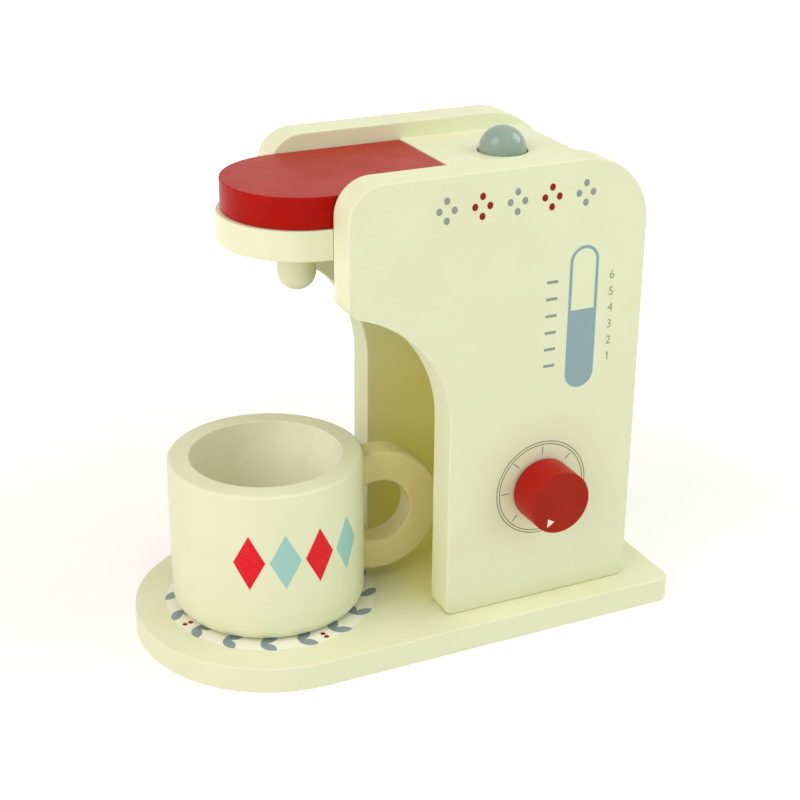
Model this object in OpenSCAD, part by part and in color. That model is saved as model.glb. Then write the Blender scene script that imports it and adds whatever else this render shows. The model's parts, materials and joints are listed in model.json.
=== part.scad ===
// Toy coffee maker in painted wood: two side panels on a base board, with a shelf
// that carries the spout, a hinged lid, a push button, a turning knob and a loose cup.
// Millimetres. +Z is up, +X runs from the cup end to the tower, -Y is the knob side.
// The origin is on the table, under the middle of the base board.

/* [Base board] */
// Length of the base board, from its round end to its square end
base_len = 183; // [165:1:230]
// Width of the base board
base_w = 98; // [84:1:130]
// Thickness of the base board
base_t = 9; // [7:0.5:16]
// Radius of the two corners at the square end
base_corner_r = 4; // [1:0.5:12]
// Base board left free behind the tower
back_margin = 14.5; // [5:0.5:30]

/* [Side panels] */
// Height of the side panels' top above the table
body_h = 166; // [135:1:210]
// Thickness of a side panel
panel_t = 12; // [9:0.5:15]
// Room between the two side panels
inner_w = 54.5; // [46:0.5:66]
// Length of the tower, from its front edge to its back edge
tower_len = 71.5; // [60:0.5:90]
// How far the head reaches over the cup, past the tower's front edge
head_reach = 36; // [28:0.5:44]
// Height of the head's front edge, measured at its unrounded corners
head_front_h = 42; // [36:0.2:55]
// Radius of the arch under the head
arch_r = 45; // [44:1:60]
// Radius of the head's upper front corner
top_front_r = 12; // [4:0.5:16]
// Radius of the tower's upper back corner
top_back_r = 24; // [10:1:28]
// Radius of the head's lower front corner
low_front_r = 5; // [2:0.5:8]
// Radius of a side panel's two lower corners
foot_r = 2.5; // [0.5:0.5:6]

/* [Shelf, top board and back panel] */
// How far the lid and the top board lie below the panels' top
top_drop = 5.8; // [2:0.2:12]
// Thickness of the top board, and of the space the lid fills
top_t = 10.5; // [9:0.5:14]
// Length of the top board, from the lid to the back
top_board_len = 48.5; // [42:0.5:60]
// Thickness of the brew shelf
shelf_t = 10; // [8:0.5:14]
// Thickness of the back panel
back_t = 9; // [7:0.5:14]
// How far the back panel and top board stand in from the panels' back edge
back_inset = 10.5; // [8:0.5:20]
// Diameter of the coffee-pad well in the shelf
well_d = 40; // [20:1:44]
// Depth of the coffee-pad well
well_depth = 3.5; // [1:0.25:3.75]

/* [Lid] */
// Gap between the lid's edge and each side panel
lid_side_gap = 0.85; // [0.4:0.05:2]
// How far the lid's round end is set back along the shelf
lid_set_back = 0.7; // [0:0.1:2]
// Gap between the lid's underside and the shelf
lid_rest_gap = 0.2; // [0.1:0.05:0.6]
// Distance from the lid's back edge to its hinge line
hinge_back = 9; // [7:0.5:12]
// Depth of the hinge line below the lid's top face
hinge_depth = 2.6; // [2.2:0.1:4]
// Gap round the back edge of the lid as it swings
swing_gap = 0.3; // [0.2:0.05:1]

/* [Hinge pins] */
// Diameter of a hinge pin
pin_d = 2.6; // [2:0.1:3]
// Length of a hinge pin
pin_len = 18; // [12:0.5:20]
// Length of a hinge pin inside its side panel
pin_in_panel = 7; // [5:0.5:8]

/* [Spout] */
// Diameter of the spout
spout_d = 13; // [9:0.5:18]
// Length of the spout below the shelf
spout_len = 18; // [12:0.1:30]
// Distance of the spout's middle in front of the head's front edge
spout_ahead = 1.5; // [-8:0.5:10]
// Diameter of the spout's tenon
tenon_d = 8; // [5:0.5:9]
// Length of the spout's tenon
tenon_len = 4.3; // [3:0.1:4.5]

/* [Button] */
// Diameter of the button
button_d = 16.4; // [12:0.2:20]
// Distance of the button's middle from the top board's back edge
button_from_back = 23.1; // [20:0.1:24]
// How far the button can be pressed
button_travel = 3; // [1.5:0.25:3.5]
// Gap between the button and its hole
button_gap = 0.5; // [0.3:0.05:1]
// Height of the straight part of the button above the board
button_rise = 0.3; // [0:0.1:2]
// Width of the flange that keeps the button in its hole
flange_w = 2.2; // [1.5:0.1:3]
// Thickness of that flange
flange_t = 2.4; // [1.5:0.1:2.6]
// Diameter of the spring wire
wire_d = 0.8; // [0.5:0.1:1.2]
// Outer diameter of the spring
spring_d = 9; // [7:0.2:10]
// Number of turns in the spring
spring_turns = 5; // [3:1:7]
// Depth of the spring's seat in the shelf
seat_depth = 5; // [3:0.5:6]

/* [Knob] */
// Diameter of the knob
knob_d = 22.4; // [16:0.2:30]
// Length of the knob
knob_len = 12.6; // [8:0.2:20]
// Gap between the knob and the side panel
knob_gap = 0.8; // [0.6:0.1:2]
// Radius of the knob's front edge
knob_edge_r = 0.9; // [0.3:0.1:3]
// Height of the knob's middle above the table
knob_z = 51.5; // [38:0.5:80]
// Distance of the knob's middle from the tower's front edge
knob_back = 35.5; // [24:0.5:44]
// Diameter of the knob's axle
axle_d = 8; // [5:0.5:10]
// Thickness of the retaining disc on the axle
disc_t = 6; // [4:0.5:10]

/* [Cup] */
// Outer diameter of the cup
cup_d = 67; // [54:0.2:76]
// Height of the cup
cup_h = 55; // [44:0.2:66]
// Thickness of the cup's wall
cup_wall = 7.5; // [6:0.1:10]
// Thickness of the cup's floor
cup_floor = 8; // [4:0.5:14]
// Radius of the cup's lower outer edge
cup_foot_r = 5; // [1:0.5:8]
// Distance of the cup's axis in front of the tower
cup_ahead = 49.8; // [48:0.2:60]
// Sideways place of the cup's axis
cup_y = 1; // [-4:0.5:4]
// Turn of the cup about its axis, handle and all
cup_turn = -4.5; // [-8:0.5:8]
// Outer diameter of the handle ring
handle_d = 45.8; // [34:0.2:52]
// Width of the handle ring's band
handle_band = 11.2; // [6:0.2:12]
// Thickness of the handle
handle_t = 10; // [6:0.5:14]
// Distance from the cup's wall to the middle of the handle ring
handle_stand_off = 5.9; // [3:0.1:9]
// Height of the handle ring's middle above the cup's foot
handle_z = 27.9; // [24:0.1:32]

/* [Fasteners] */
// Diameter of a cross dowel
dowel_d = 6; // [4:0.5:7]
// Length of a cross dowel inside its side panel
dowel_in_panel = 8; // [5:0.5:8.5]
// Length of a cross dowel inside the board
dowel_in_board = 12; // [8:0.5:15]
// Diameter of a handle dowel
handle_dowel_d = 5; // [3:0.5:6]
// Length of a handle dowel
handle_dowel_len = 12; // [8:0.5:14]
// Diameter of a base screw's shank
screw_d = 3.5; // [2.5:0.1:4]
// Diameter of a base screw's head
screw_head_d = 7; // [5:0.2:8]
// Length of a base screw
screw_len = 30; // [20:1:40]
// Radial gap of a glued or driven fit
glue_gap = 0.02; // [0.01:0.01:0.05]
// Radial gap of a running fit
running_gap = 0.08; // [0.02:0.01:0.1]

/* [Hidden] */
$fn = 96;
cut = 1; // how far a cutter reaches past the face it opens
overlap = 0.1; // how far two cutters reach into each other

cream = "#e4e8c8";
red = "#b0281f";
grey_blue = "#94aaa6";
steel = "#b9bcc0";
raw_wood = "#d9bd8c";

// Places along X
base_front_x = -base_len / 2;
base_back_x = base_len / 2;
tower_back_x = base_back_x - back_margin;
tower_front_x = tower_back_x - tower_len;
head_front_x = tower_front_x - head_reach;
board_back_x = tower_back_x - back_inset;
board_front_x = board_back_x - top_board_len;
button_x = board_back_x - button_from_back;
knob_x = tower_front_x + knob_back;
cup_x = tower_front_x - cup_ahead;
spout_x = head_front_x - spout_ahead;

// Places along Y and Z
half_in = inner_w / 2;
panel_mid_y = half_in + panel_t / 2;
panel_face_y = half_in + panel_t;
top_z = body_h - top_drop;
shelf_top_z = top_z - top_t;
shelf_z = shelf_top_z - shelf_t;

// The arch is tangent to the tower's front edge and meets the head's front edge
arch_x = tower_front_x - arch_r;
arch_meet_z = body_h - head_front_h;
arch_z = arch_meet_z - sqrt(pow(arch_r, 2) - pow(head_front_x - arch_x, 2));
low_bite = 0.01; // how far the lower corner's round reaches into the arch, so that they cross
low_reach = arch_r + low_front_r - low_bite;
low_round_x = head_front_x + low_front_r;
low_round_z = arch_z + sqrt(pow(low_reach, 2) - pow(low_round_x - arch_x, 2));
low_touch = [arch_x, arch_z]
    + [low_round_x - arch_x, low_round_z - arch_z] * (arch_r - overlap) / low_reach;

// The lid's back edge is an arc about the hinge line, so it clears the top board
lid_half_w = half_in - lid_side_gap;
swing_r = norm([hinge_back, hinge_depth]);
hinge_x = board_front_x - swing_gap - swing_r;
hinge_z = top_z - hinge_depth;
lid_back_x = hinge_x + hinge_back;
lid_z = shelf_top_z + lid_rest_gap;
lid_nose_x = head_front_x + lid_set_back;

// The button's flange stops under the top board; its spring stands in the shelf
button_r = button_d / 2;
flange_r = button_r + flange_w;
stop_gap = 0.2; // between the flange and its stop, and under the pressed flange
stop_z = shelf_top_z + stop_gap + button_travel + flange_t + stop_gap;
flange_z = stop_z - stop_gap - flange_t;
spring_end_gap = 0.3;
spring_side_gap = 0.6;
spring_z = shelf_top_z - seat_depth + spring_end_gap;
button_bore_r = spring_d / 2 + spring_side_gap;
button_bore_drop = 2; // from the board's top down to the end of the button's bore
button_bore_top_z = top_z - button_bore_drop;
spring_top_z = button_bore_top_z - spring_end_gap;
rings_per_turn = 14;
wire_sides = 8;

// The tenon leaves a little room for glue at the end of its hole
tenon_end_gap = 0.2;

// The knob, its axle and its disc turn together in the dial side panel
knob_y = -panel_face_y - knob_gap;
knob_front_wood = 4; // left in front of the axle
axle_in_knob = knob_len - knob_front_wood;
disc_gap = 0.3;
disc_y = -half_in + disc_gap;
disc_shy = 0.4; // how much smaller than the knob the disc is, all round
disc_r = knob_d / 2 - disc_shy;
washer_play = 0.1;
washer_w = 3.6;

cup_r = cup_d / 2;
cup_rim_r = 1.2;
cup_inner_fillet = 3;
handle_r = handle_d / 2;
handle_hole_r = handle_r - handle_band;
handle_reach = cup_r + handle_stand_off;

// The handle dowels enter the wall half way across the ring's band
handle_foot_dz = (sqrt(pow(handle_r, 2) - pow(handle_stand_off, 2))
    + sqrt(pow(handle_hole_r, 2) - pow(handle_stand_off, 2))) / 2;
handle_dowel_in_cup = 5;
handle_dowel_start = cup_r - handle_dowel_in_cup;

// Dowel and screw places
shelf_dowel_to_hinge = 14;
dowel_end_inset = 8;
back_dowel_inset = 30;
shelf_dowel_xs = [hinge_x - shelf_dowel_to_hinge, board_back_x - dowel_end_inset];
board_dowel_xs = [board_front_x + dowel_end_inset, board_back_x - dowel_end_inset];
back_dowel_zs = [base_t + back_dowel_inset, shelf_z - back_dowel_inset];
back_mid_x = board_back_x - back_t / 2;
screw_inset = 12;
back_screw_inset = 13.5;
screw_recess = 0.3;
screw_xys = concat(
    [for (x = [tower_front_x + screw_inset, tower_back_x - screw_inset], side = [-1, 1])
        [x, side * panel_mid_y]],
    [for (side = [-1, 1]) [back_mid_x, side * (half_in - back_screw_inset)]]);
screw_head_t = (screw_head_d - screw_d) / 2;
screw_tip = 4;
screw_tip_d = 0.4;
screw_side_gap = 0.25; // round the shank, in the base board
countersink_gap = 0.3; // round the head

// The sliver that rounds a square corner at the origin, with wood in +X +Y
module corner_cut(r) {
    difference() {
        translate([-cut, -cut]) square(r + cut);
        translate([r, r]) circle(r);
    }
}

// A plan outline with a half-round front end, drawn on the XY plane
module round_nosed(nose_x, back_x, half_w) {
    translate([nose_x, 0]) circle(half_w);
    translate([nose_x, -half_w]) square([back_x - nose_x, 2 * half_w]);
}

// A cylinder along Y from y0 to y1
module rod_y(x, z, r, y0, y1) {
    translate([x, y1, z]) rotate([90, 0, 0]) cylinder(r = r, h = y1 - y0);
}

// Upright board outline in X and Z, extruded along Y from y0 for thickness t
module upright(y0, t) {
    translate([0, y0 + t, 0]) rotate([90, 0, 0]) linear_extrude(t) children();
}

module side_outline() {
    difference() {
        translate([head_front_x, base_t])
            square([tower_back_x - head_front_x, body_h - base_t]);
        translate([arch_x, arch_z]) circle(arch_r);
        translate([head_front_x - cut, base_t - cut])
            square([head_reach + cut, arch_z - base_t + cut]);
        translate([head_front_x, body_h]) mirror([0, 1]) corner_cut(top_front_r);
        translate([tower_back_x, body_h]) rotate(180) corner_cut(top_back_r);
        translate([tower_front_x, base_t]) corner_cut(foot_r);
        translate([tower_back_x, base_t]) mirror([1, 0]) corner_cut(foot_r);
        difference() {
            polygon([[low_round_x, low_round_z], [head_front_x - cut, low_round_z],
                [head_front_x - cut, low_touch[1] - overlap], low_touch]);
            translate([low_round_x, low_round_z]) circle(low_front_r);
        }
    }
}

// Dowels at the given X and Z places through both board ends, drawn or cut
module cross_dowels(places, gap = 0) {
    end_y = half_in + dowel_in_panel + gap;
    start_y = half_in - dowel_in_board - gap;
    for (place = places, side = [-1, 1])
        rod_y(place[0], place[1], dowel_d / 2 + gap,
            min(side * start_y, side * end_y), max(side * start_y, side * end_y));
}

function shelf_dowel_places() = [for (x = shelf_dowel_xs) [x, shelf_z + shelf_t / 2]];
function board_dowel_places() = [for (x = board_dowel_xs) [x, shelf_top_z + top_t / 2]];
function back_dowel_places() = [for (z = back_dowel_zs) [back_mid_x, z]];

module all_dowel_holes() {
    cross_dowels(concat(shelf_dowel_places(), board_dowel_places(), back_dowel_places()),
        glue_gap);
}

module hinge_pin_shape(side, gap) {
    outer = half_in + pin_in_panel + gap;
    inner = half_in + pin_in_panel - pin_len - gap;
    rod_y(hinge_x, hinge_z, pin_d / 2 + gap,
        min(side * inner, side * outer), max(side * inner, side * outer));
}

module screw_pilots() {
    for (xy = screw_xys)
        translate([xy[0], xy[1], base_t - cut])
            cylinder(r = screw_d / 2 + glue_gap, h = screw_recess + screw_len - base_t + 2 * cut);
}

module side_panel(side) {
    difference() {
        upright(side > 0 ? half_in : -panel_face_y, panel_t) side_outline();
        all_dowel_holes();
        hinge_pin_shape(side, glue_gap);
        screw_pilots();
    }
}

module base_board() {
    color(cream)
    difference() {
        linear_extrude(base_t)
            difference() {
                round_nosed(base_front_x + base_w / 2, base_back_x, base_w / 2);
                translate([base_back_x, base_w / 2]) rotate(180) corner_cut(base_corner_r);
                translate([base_back_x, -base_w / 2]) rotate(90) corner_cut(base_corner_r);
            }
        for (xy = screw_xys)
            translate([xy[0], xy[1], -cut]) {
                cylinder(r = screw_d / 2 + screw_side_gap, h = base_t + 2 * cut);
                cylinder(r1 = screw_head_d / 2 + countersink_gap + cut,
                    r2 = screw_d / 2 + screw_side_gap,
                    h = screw_head_t + screw_recess + cut);
            }
    }
}

module dial_side_panel() {
    color(cream)
    difference() {
        side_panel(-1);
        rod_y(knob_x, knob_z, axle_d / 2 + running_gap, -panel_face_y - cut, -half_in + cut);
    }
}

module plain_side_panel() {
    color(cream) side_panel(1);
}

module back_panel() {
    color(cream)
    difference() {
        translate([board_back_x - back_t, -half_in, base_t])
            cube([back_t, inner_w, shelf_z - base_t]);
        all_dowel_holes();
        screw_pilots();
    }
}

module brew_shelf() {
    color(cream)
    difference() {
        translate([0, 0, shelf_z]) linear_extrude(shelf_t)
            round_nosed(head_front_x, board_back_x, half_in);
        translate([head_front_x, 0, shelf_top_z - well_depth])
            cylinder(d = well_d, h = well_depth + cut);
        translate([spout_x, 0, shelf_z - cut])
            cylinder(r = tenon_d / 2 + glue_gap, h = tenon_len + tenon_end_gap + cut);
        rod_y(hinge_x, hinge_z, swing_r + swing_gap, -half_in - cut, half_in + cut);
        translate([button_x, 0, shelf_top_z - seat_depth])
            cylinder(r = spring_d / 2 + spring_side_gap, h = seat_depth + cut);
        all_dowel_holes();
    }
}

module top_board() {
    color(cream)
    difference() {
        translate([board_front_x, -half_in, shelf_top_z])
            cube([board_back_x - board_front_x, inner_w, top_t]);
        translate([button_x, 0, shelf_top_z - cut]) {
            cylinder(r = button_r + button_gap, h = top_t + 2 * cut);
            cylinder(r = flange_r + button_gap, h = stop_z - shelf_top_z + cut);
        }
        all_dowel_holes();
    }
}

module lid() {
    color(red)
    difference() {
        intersection() {
            translate([0, 0, lid_z]) linear_extrude(top_z - lid_z)
                round_nosed(lid_nose_x, hinge_x + swing_r, lid_half_w);
            upright(-half_in, inner_w) {
                translate([lid_nose_x - lid_half_w - cut, lid_z - cut])
                    square([hinge_x - lid_nose_x + lid_half_w + cut,
                        top_z - lid_z + 2 * cut]);
                translate([hinge_x, hinge_z]) circle(swing_r);
            }
        }
        for (side = [-1, 1]) hinge_pin_shape(side, running_gap);
    }
}

module lid_hinge_pins() {
    color(steel) for (side = [-1, 1]) hinge_pin_shape(side, 0);
}

module spout() {
    color(cream)
    translate([spout_x, 0, shelf_z]) {
        cylinder(d = tenon_d, h = tenon_len);
        rotate_extrude() {
            translate([0, spout_d / 2 - spout_len])
                square([spout_d / 2, spout_len - spout_d / 2]);
            translate([0, spout_d / 2 - spout_len])
                intersection() {
                    circle(d = spout_d);
                    translate([0, -spout_d]) square(spout_d);
                }
        }
    }
}

module button_cap() {
    color(grey_blue)
    translate([button_x, 0, 0])
        rotate_extrude() {
            difference() {
                union() {
                    translate([0, top_z + button_rise])
                        intersection() {
                            circle(button_r);
                            square(button_r);
                        }
                    translate([0, flange_z]) square([button_r, top_z + button_rise - flange_z]);
                    translate([0, flange_z]) square([flange_r, flange_t]);
                }
                translate([-cut, flange_z - cut])
                    square([button_bore_r + cut, button_bore_top_z - flange_z + cut]);
            }
        }
}

// A round wire along a helix, closed at both ends
module button_spring() {
    rings = spring_turns * rings_per_turn;
    last = wire_sides - 1;
    wire_r = wire_d / 2;
    mean_r = spring_d / 2 - wire_r;
    low = spring_z + wire_r;
    rise = spring_top_z - wire_r - low;
    points = [for (i = [0:rings], j = [0:last])
        let (turn = 360 * i / rings_per_turn, a = 360 * j / wire_sides,
            reach = mean_r + wire_r * cos(a))
        [reach * cos(turn), reach * sin(turn), low + rise * i / rings + wire_r * sin(a)]];
    skin = [for (i = [0:rings - 1], j = [0:last])
        let (here = i * wire_sides, above = here + wire_sides, next = (j + 1) % wire_sides)
        [here + j, above + j, above + next, here + next]];
    ends = [[for (j = [0:last]) j], [for (j = [0:last]) rings * wire_sides + last - j]];
    color(steel) translate([button_x, 0, 0]) polyhedron(points, concat(skin, ends));
}

module knob() {
    color(red)
    difference() {
        translate([knob_x, knob_y, knob_z]) rotate([90, 0, 0])
            rotate_extrude()
                difference() {
                    square([knob_d / 2, knob_len]);
                    translate([knob_d / 2, knob_len]) rotate(180) corner_cut(knob_edge_r);
                }
        rod_y(knob_x, knob_z, axle_d / 2 + glue_gap, knob_y - axle_in_knob - glue_gap,
            knob_y + cut);
    }
}

module knob_axle() {
    color(raw_wood)
        rod_y(knob_x, knob_z, axle_d / 2, knob_y - axle_in_knob, disc_y + disc_t);
}

module knob_washer() {
    color(raw_wood)
    difference() {
        rod_y(knob_x, knob_z, axle_d / 2 + washer_w, knob_y + washer_play,
            -panel_face_y - washer_play);
        rod_y(knob_x, knob_z, axle_d / 2 + running_gap, knob_y - cut, -panel_face_y + cut);
    }
}

module knob_retaining_disc() {
    color(raw_wood)
    difference() {
        rod_y(knob_x, knob_z, disc_r, disc_y, disc_y + disc_t);
        rod_y(knob_x, knob_z, axle_d / 2 + glue_gap, disc_y - cut, disc_y + disc_t + cut);
    }
}

// Places its children in the cup's own frame: axis on Z, foot at zero, handle on +X
module at_cup() {
    translate([cup_x, cup_y, base_t]) rotate([0, 0, cup_turn]) children();
}

module handle_dowel_shapes(gap) {
    for (dz = [-1, 1] * handle_foot_dz)
        translate([handle_dowel_start - gap, 0, handle_z + dz]) rotate([0, 90, 0])
            cylinder(r = handle_dowel_d / 2 + gap, h = handle_dowel_len + 2 * gap);
}

module cup_body() {
    color(cream)
    at_cup()
        difference() {
            rotate_extrude()
                difference() {
                    square([cup_r, cup_h]);
                    translate([cup_r, 0]) rotate(90) corner_cut(cup_foot_r);
                    translate([cup_r, cup_h]) rotate(180) corner_cut(cup_rim_r);
                    difference() {
                        translate([-cut, cup_floor])
                            square([cup_r - cup_wall + cut, cup_h - cup_floor + cut]);
                        translate([cup_r - cup_wall, cup_floor]) rotate(90)
                            corner_cut(cup_inner_fillet);
                    }
                }
            handle_dowel_shapes(glue_gap);
        }
}

module cup_handle() {
    color(cream)
    at_cup()
        difference() {
            upright(-handle_t / 2, handle_t)
                translate([handle_reach, handle_z])
                    difference() {
                        circle(handle_r);
                        circle(handle_hole_r);
                    }
            translate([0, 0, -cut]) cylinder(r = cup_r + glue_gap, h = cup_h + 2 * cut);
            handle_dowel_shapes(glue_gap);
        }
}

module cup_handle_dowels() {
    color(raw_wood) at_cup() handle_dowel_shapes(0);
}

module shelf_dowels() {
    color(raw_wood) cross_dowels(shelf_dowel_places());
}

module top_board_dowels() {
    color(raw_wood) cross_dowels(board_dowel_places());
}

module back_panel_dowels() {
    color(raw_wood) cross_dowels(back_dowel_places());
}

// A countersunk wood screw standing on its head, with a cross slot
module wood_screw() {
    slot_w = 0.9;
    slot_depth = 1.2;
    slot_inset = 1.2;
    difference() {
        union() {
            cylinder(r1 = screw_head_d / 2, r2 = screw_d / 2, h = screw_head_t);
            cylinder(d = screw_d, h = screw_len - screw_tip);
            translate([0, 0, screw_len - screw_tip])
                cylinder(d1 = screw_d, d2 = screw_tip_d, h = screw_tip);
        }
        for (turn = [0, 90])
            rotate(turn)
                translate([slot_inset - screw_head_d / 2, -slot_w / 2, -cut])
                    cube([screw_head_d - 2 * slot_inset, slot_w, slot_depth + cut]);
    }
}

module base_screws() {
    color(steel)
        for (xy = screw_xys) translate([xy[0], xy[1], screw_recess]) wood_screw();
}

base_board();
dial_side_panel();
plain_side_panel();
back_panel();
brew_shelf();
top_board();
lid();
lid_hinge_pins();
spout();
button_cap();
button_spring();
knob();
knob_axle();
knob_washer();
knob_retaining_disc();
cup_body();
cup_handle();
cup_handle_dowels();
shelf_dowels();
top_board_dowels();
back_panel_dowels();
base_screws();
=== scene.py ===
"""A toy coffee maker in painted wood, modelled round its construction frame.

Sizes are in metres, in the frame's own axes: +Z is up, +X runs from the cup to the tower, and
-Y is the side with the knob. Places come from the frame's nodes and joints.
"""

from __future__ import annotations

import json
import logging
import math
from collections.abc import Callable, Iterable, Iterator, Mapping
from contextlib import contextmanager
from dataclasses import dataclass, field
from enum import Enum

import bmesh
import bpy
from mathutils import Matrix, Vector


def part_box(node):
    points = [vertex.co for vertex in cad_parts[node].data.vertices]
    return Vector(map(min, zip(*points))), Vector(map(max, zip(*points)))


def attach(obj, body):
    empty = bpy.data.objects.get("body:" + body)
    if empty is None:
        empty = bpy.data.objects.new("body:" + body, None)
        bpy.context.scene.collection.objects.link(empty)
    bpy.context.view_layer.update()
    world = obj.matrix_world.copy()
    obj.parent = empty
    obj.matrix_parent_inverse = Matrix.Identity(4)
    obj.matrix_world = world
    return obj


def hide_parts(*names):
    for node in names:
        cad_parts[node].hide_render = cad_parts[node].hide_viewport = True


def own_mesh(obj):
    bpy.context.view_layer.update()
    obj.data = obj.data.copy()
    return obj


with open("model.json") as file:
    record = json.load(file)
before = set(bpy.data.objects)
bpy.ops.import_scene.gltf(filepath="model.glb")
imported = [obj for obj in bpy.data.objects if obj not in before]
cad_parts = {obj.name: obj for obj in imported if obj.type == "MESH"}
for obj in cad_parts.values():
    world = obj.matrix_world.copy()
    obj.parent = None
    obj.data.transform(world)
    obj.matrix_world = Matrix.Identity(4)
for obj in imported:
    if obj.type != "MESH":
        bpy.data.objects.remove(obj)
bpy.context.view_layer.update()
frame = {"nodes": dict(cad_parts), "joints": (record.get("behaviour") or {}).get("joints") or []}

MM = 0.001
ARC_STEP = 3.0  # degrees between two points of a drawn arc
BIT_FACETS = 96  # facets round a drill bit
SAME_POINT = 1e-6  # points closer than this are one point
ON_PLANE = 1e-7  # points closer than this to a cut lie on it
FLAT = 0.999  # cosine between a face's normal and a direction that it faces
INK = 0.08 * MM  # thickness of a print, half of it above the paint
X_AXIS = Vector((1, 0, 0)).freeze()
Y_AXIS = Vector((0, 1, 0)).freeze()
Z_AXIS = Vector((0, 0, 1)).freeze()
WHITE = (1.0, 1.0, 1.0, 1.0)

Point = tuple[float, float] | Vector
Colour = tuple[float, float, float, float]
VectorTest = Callable[[Vector, Vector], bool]

log = logging.getLogger("coffee_maker")


# ---------------------------------------------------------------- names that the frame knows


class Body(Enum):
    """The bodies of the frame that a piece can ride on."""

    FRAME = "frame"
    LID = "lid"
    BUTTON = "button"
    KNOB = "knob"
    CUP = "cup"


class Slot(Enum):
    """The material slots of the record that a piece can take its finish from."""

    CREAM = "cream_paint"
    RED = "red_paint"
    GREY_BLUE = "grey_blue_paint"
    WOOD = "bare_wood"
    STEEL = "steel"
    FELT = "felt"


@dataclass(frozen=True)
class Block:
    """The box that a node of the frame fills."""

    low: Vector
    high: Vector

    @classmethod
    def of(cls, node: str) -> Block:
        """Reads the box of a node."""
        return cls(*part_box(node))

    @property
    def middle(self) -> Vector:
        """The centre of the box."""
        return (self.low + self.high) / 2

    @property
    def foot(self) -> Vector:
        """The middle of the box's underside."""
        return Vector((self.middle.x, self.middle.y, self.low.z))

    @property
    def back(self) -> Vector:
        """The middle of the box's face away from the knob side."""
        return Vector((self.middle.x, self.high.y, self.middle.z))

    @property
    def size(self) -> Vector:
        """The lengths of the box's sides."""
        return self.high - self.low


def hinge_line() -> Vector:
    """Finds the point that the lid's hinge joint turns about."""
    joint = next(j for j in frame["joints"] if j["name"] == "lid_hinge")
    return Vector(joint["pos_m"])


# ---------------------------------------------------------------- modelling, as at a bench


def deselect_all() -> None:
    """Leaves nothing selected, so that an operator acts only on what it makes."""
    bpy.ops.object.select_all(action="DESELECT")


def pick(piece: bpy.types.Object, *others: bpy.types.Object) -> None:
    """Selects these pieces alone, with the first one active.

    Args:
        piece: The piece that becomes the active one.
        others: More pieces to select.
    """
    deselect_all()
    for each in (piece, *others):
        each.select_set(True)
    bpy.context.view_layer.objects.active = piece


@contextmanager
def editing(piece: bpy.types.Object, kind: str = "EDGE") -> Iterator[bmesh.types.BMesh]:
    """Opens a piece in edit mode with nothing selected, and closes it afterwards.

    Args:
        piece: The piece to edit.
        kind: What is selected: VERT, EDGE or FACE.

    Returns:
        The mesh in edit mode, to choose parts of.
    """
    pick(piece)
    bpy.ops.object.mode_set(mode="EDIT")
    bpy.ops.mesh.select_mode(type=kind)
    bpy.ops.mesh.select_all(action="DESELECT")
    yield bmesh.from_edit_mesh(piece.data)
    bpy.ops.object.mode_set(mode="OBJECT")


@dataclass(frozen=True)
class Sheet:
    """A sheet to draw on: where its zero lies, and which way its two rulers run."""

    zero: Vector
    across: Vector
    up: Vector

    @classmethod
    def plan(cls, height: float) -> Sheet:
        """A level sheet that faces up, with rulers along X and Y."""
        return cls(height * Z_AXIS, X_AXIS, Y_AXIS)

    @classmethod
    def side(cls, y: float) -> Sheet:
        """An upright sheet that faces the knob side, with rulers along X and Z."""
        return cls(y * Y_AXIS, X_AXIS, Z_AXIS)

    @classmethod
    def turning(cls, foot: Vector, up: Vector = Z_AXIS) -> Sheet:
        """A sheet through a turned piece's axis, with radius and height from its foot."""
        return cls(foot, X_AXIS, up)

    @property
    def facing(self) -> Vector:
        """The direction that the sheet faces."""
        return self.across.cross(self.up)

    def at(self, point: Point) -> Vector:
        """The place in the frame of a point on the sheet."""
        return self.zero + point[0] * self.across + point[1] * self.up


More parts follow.
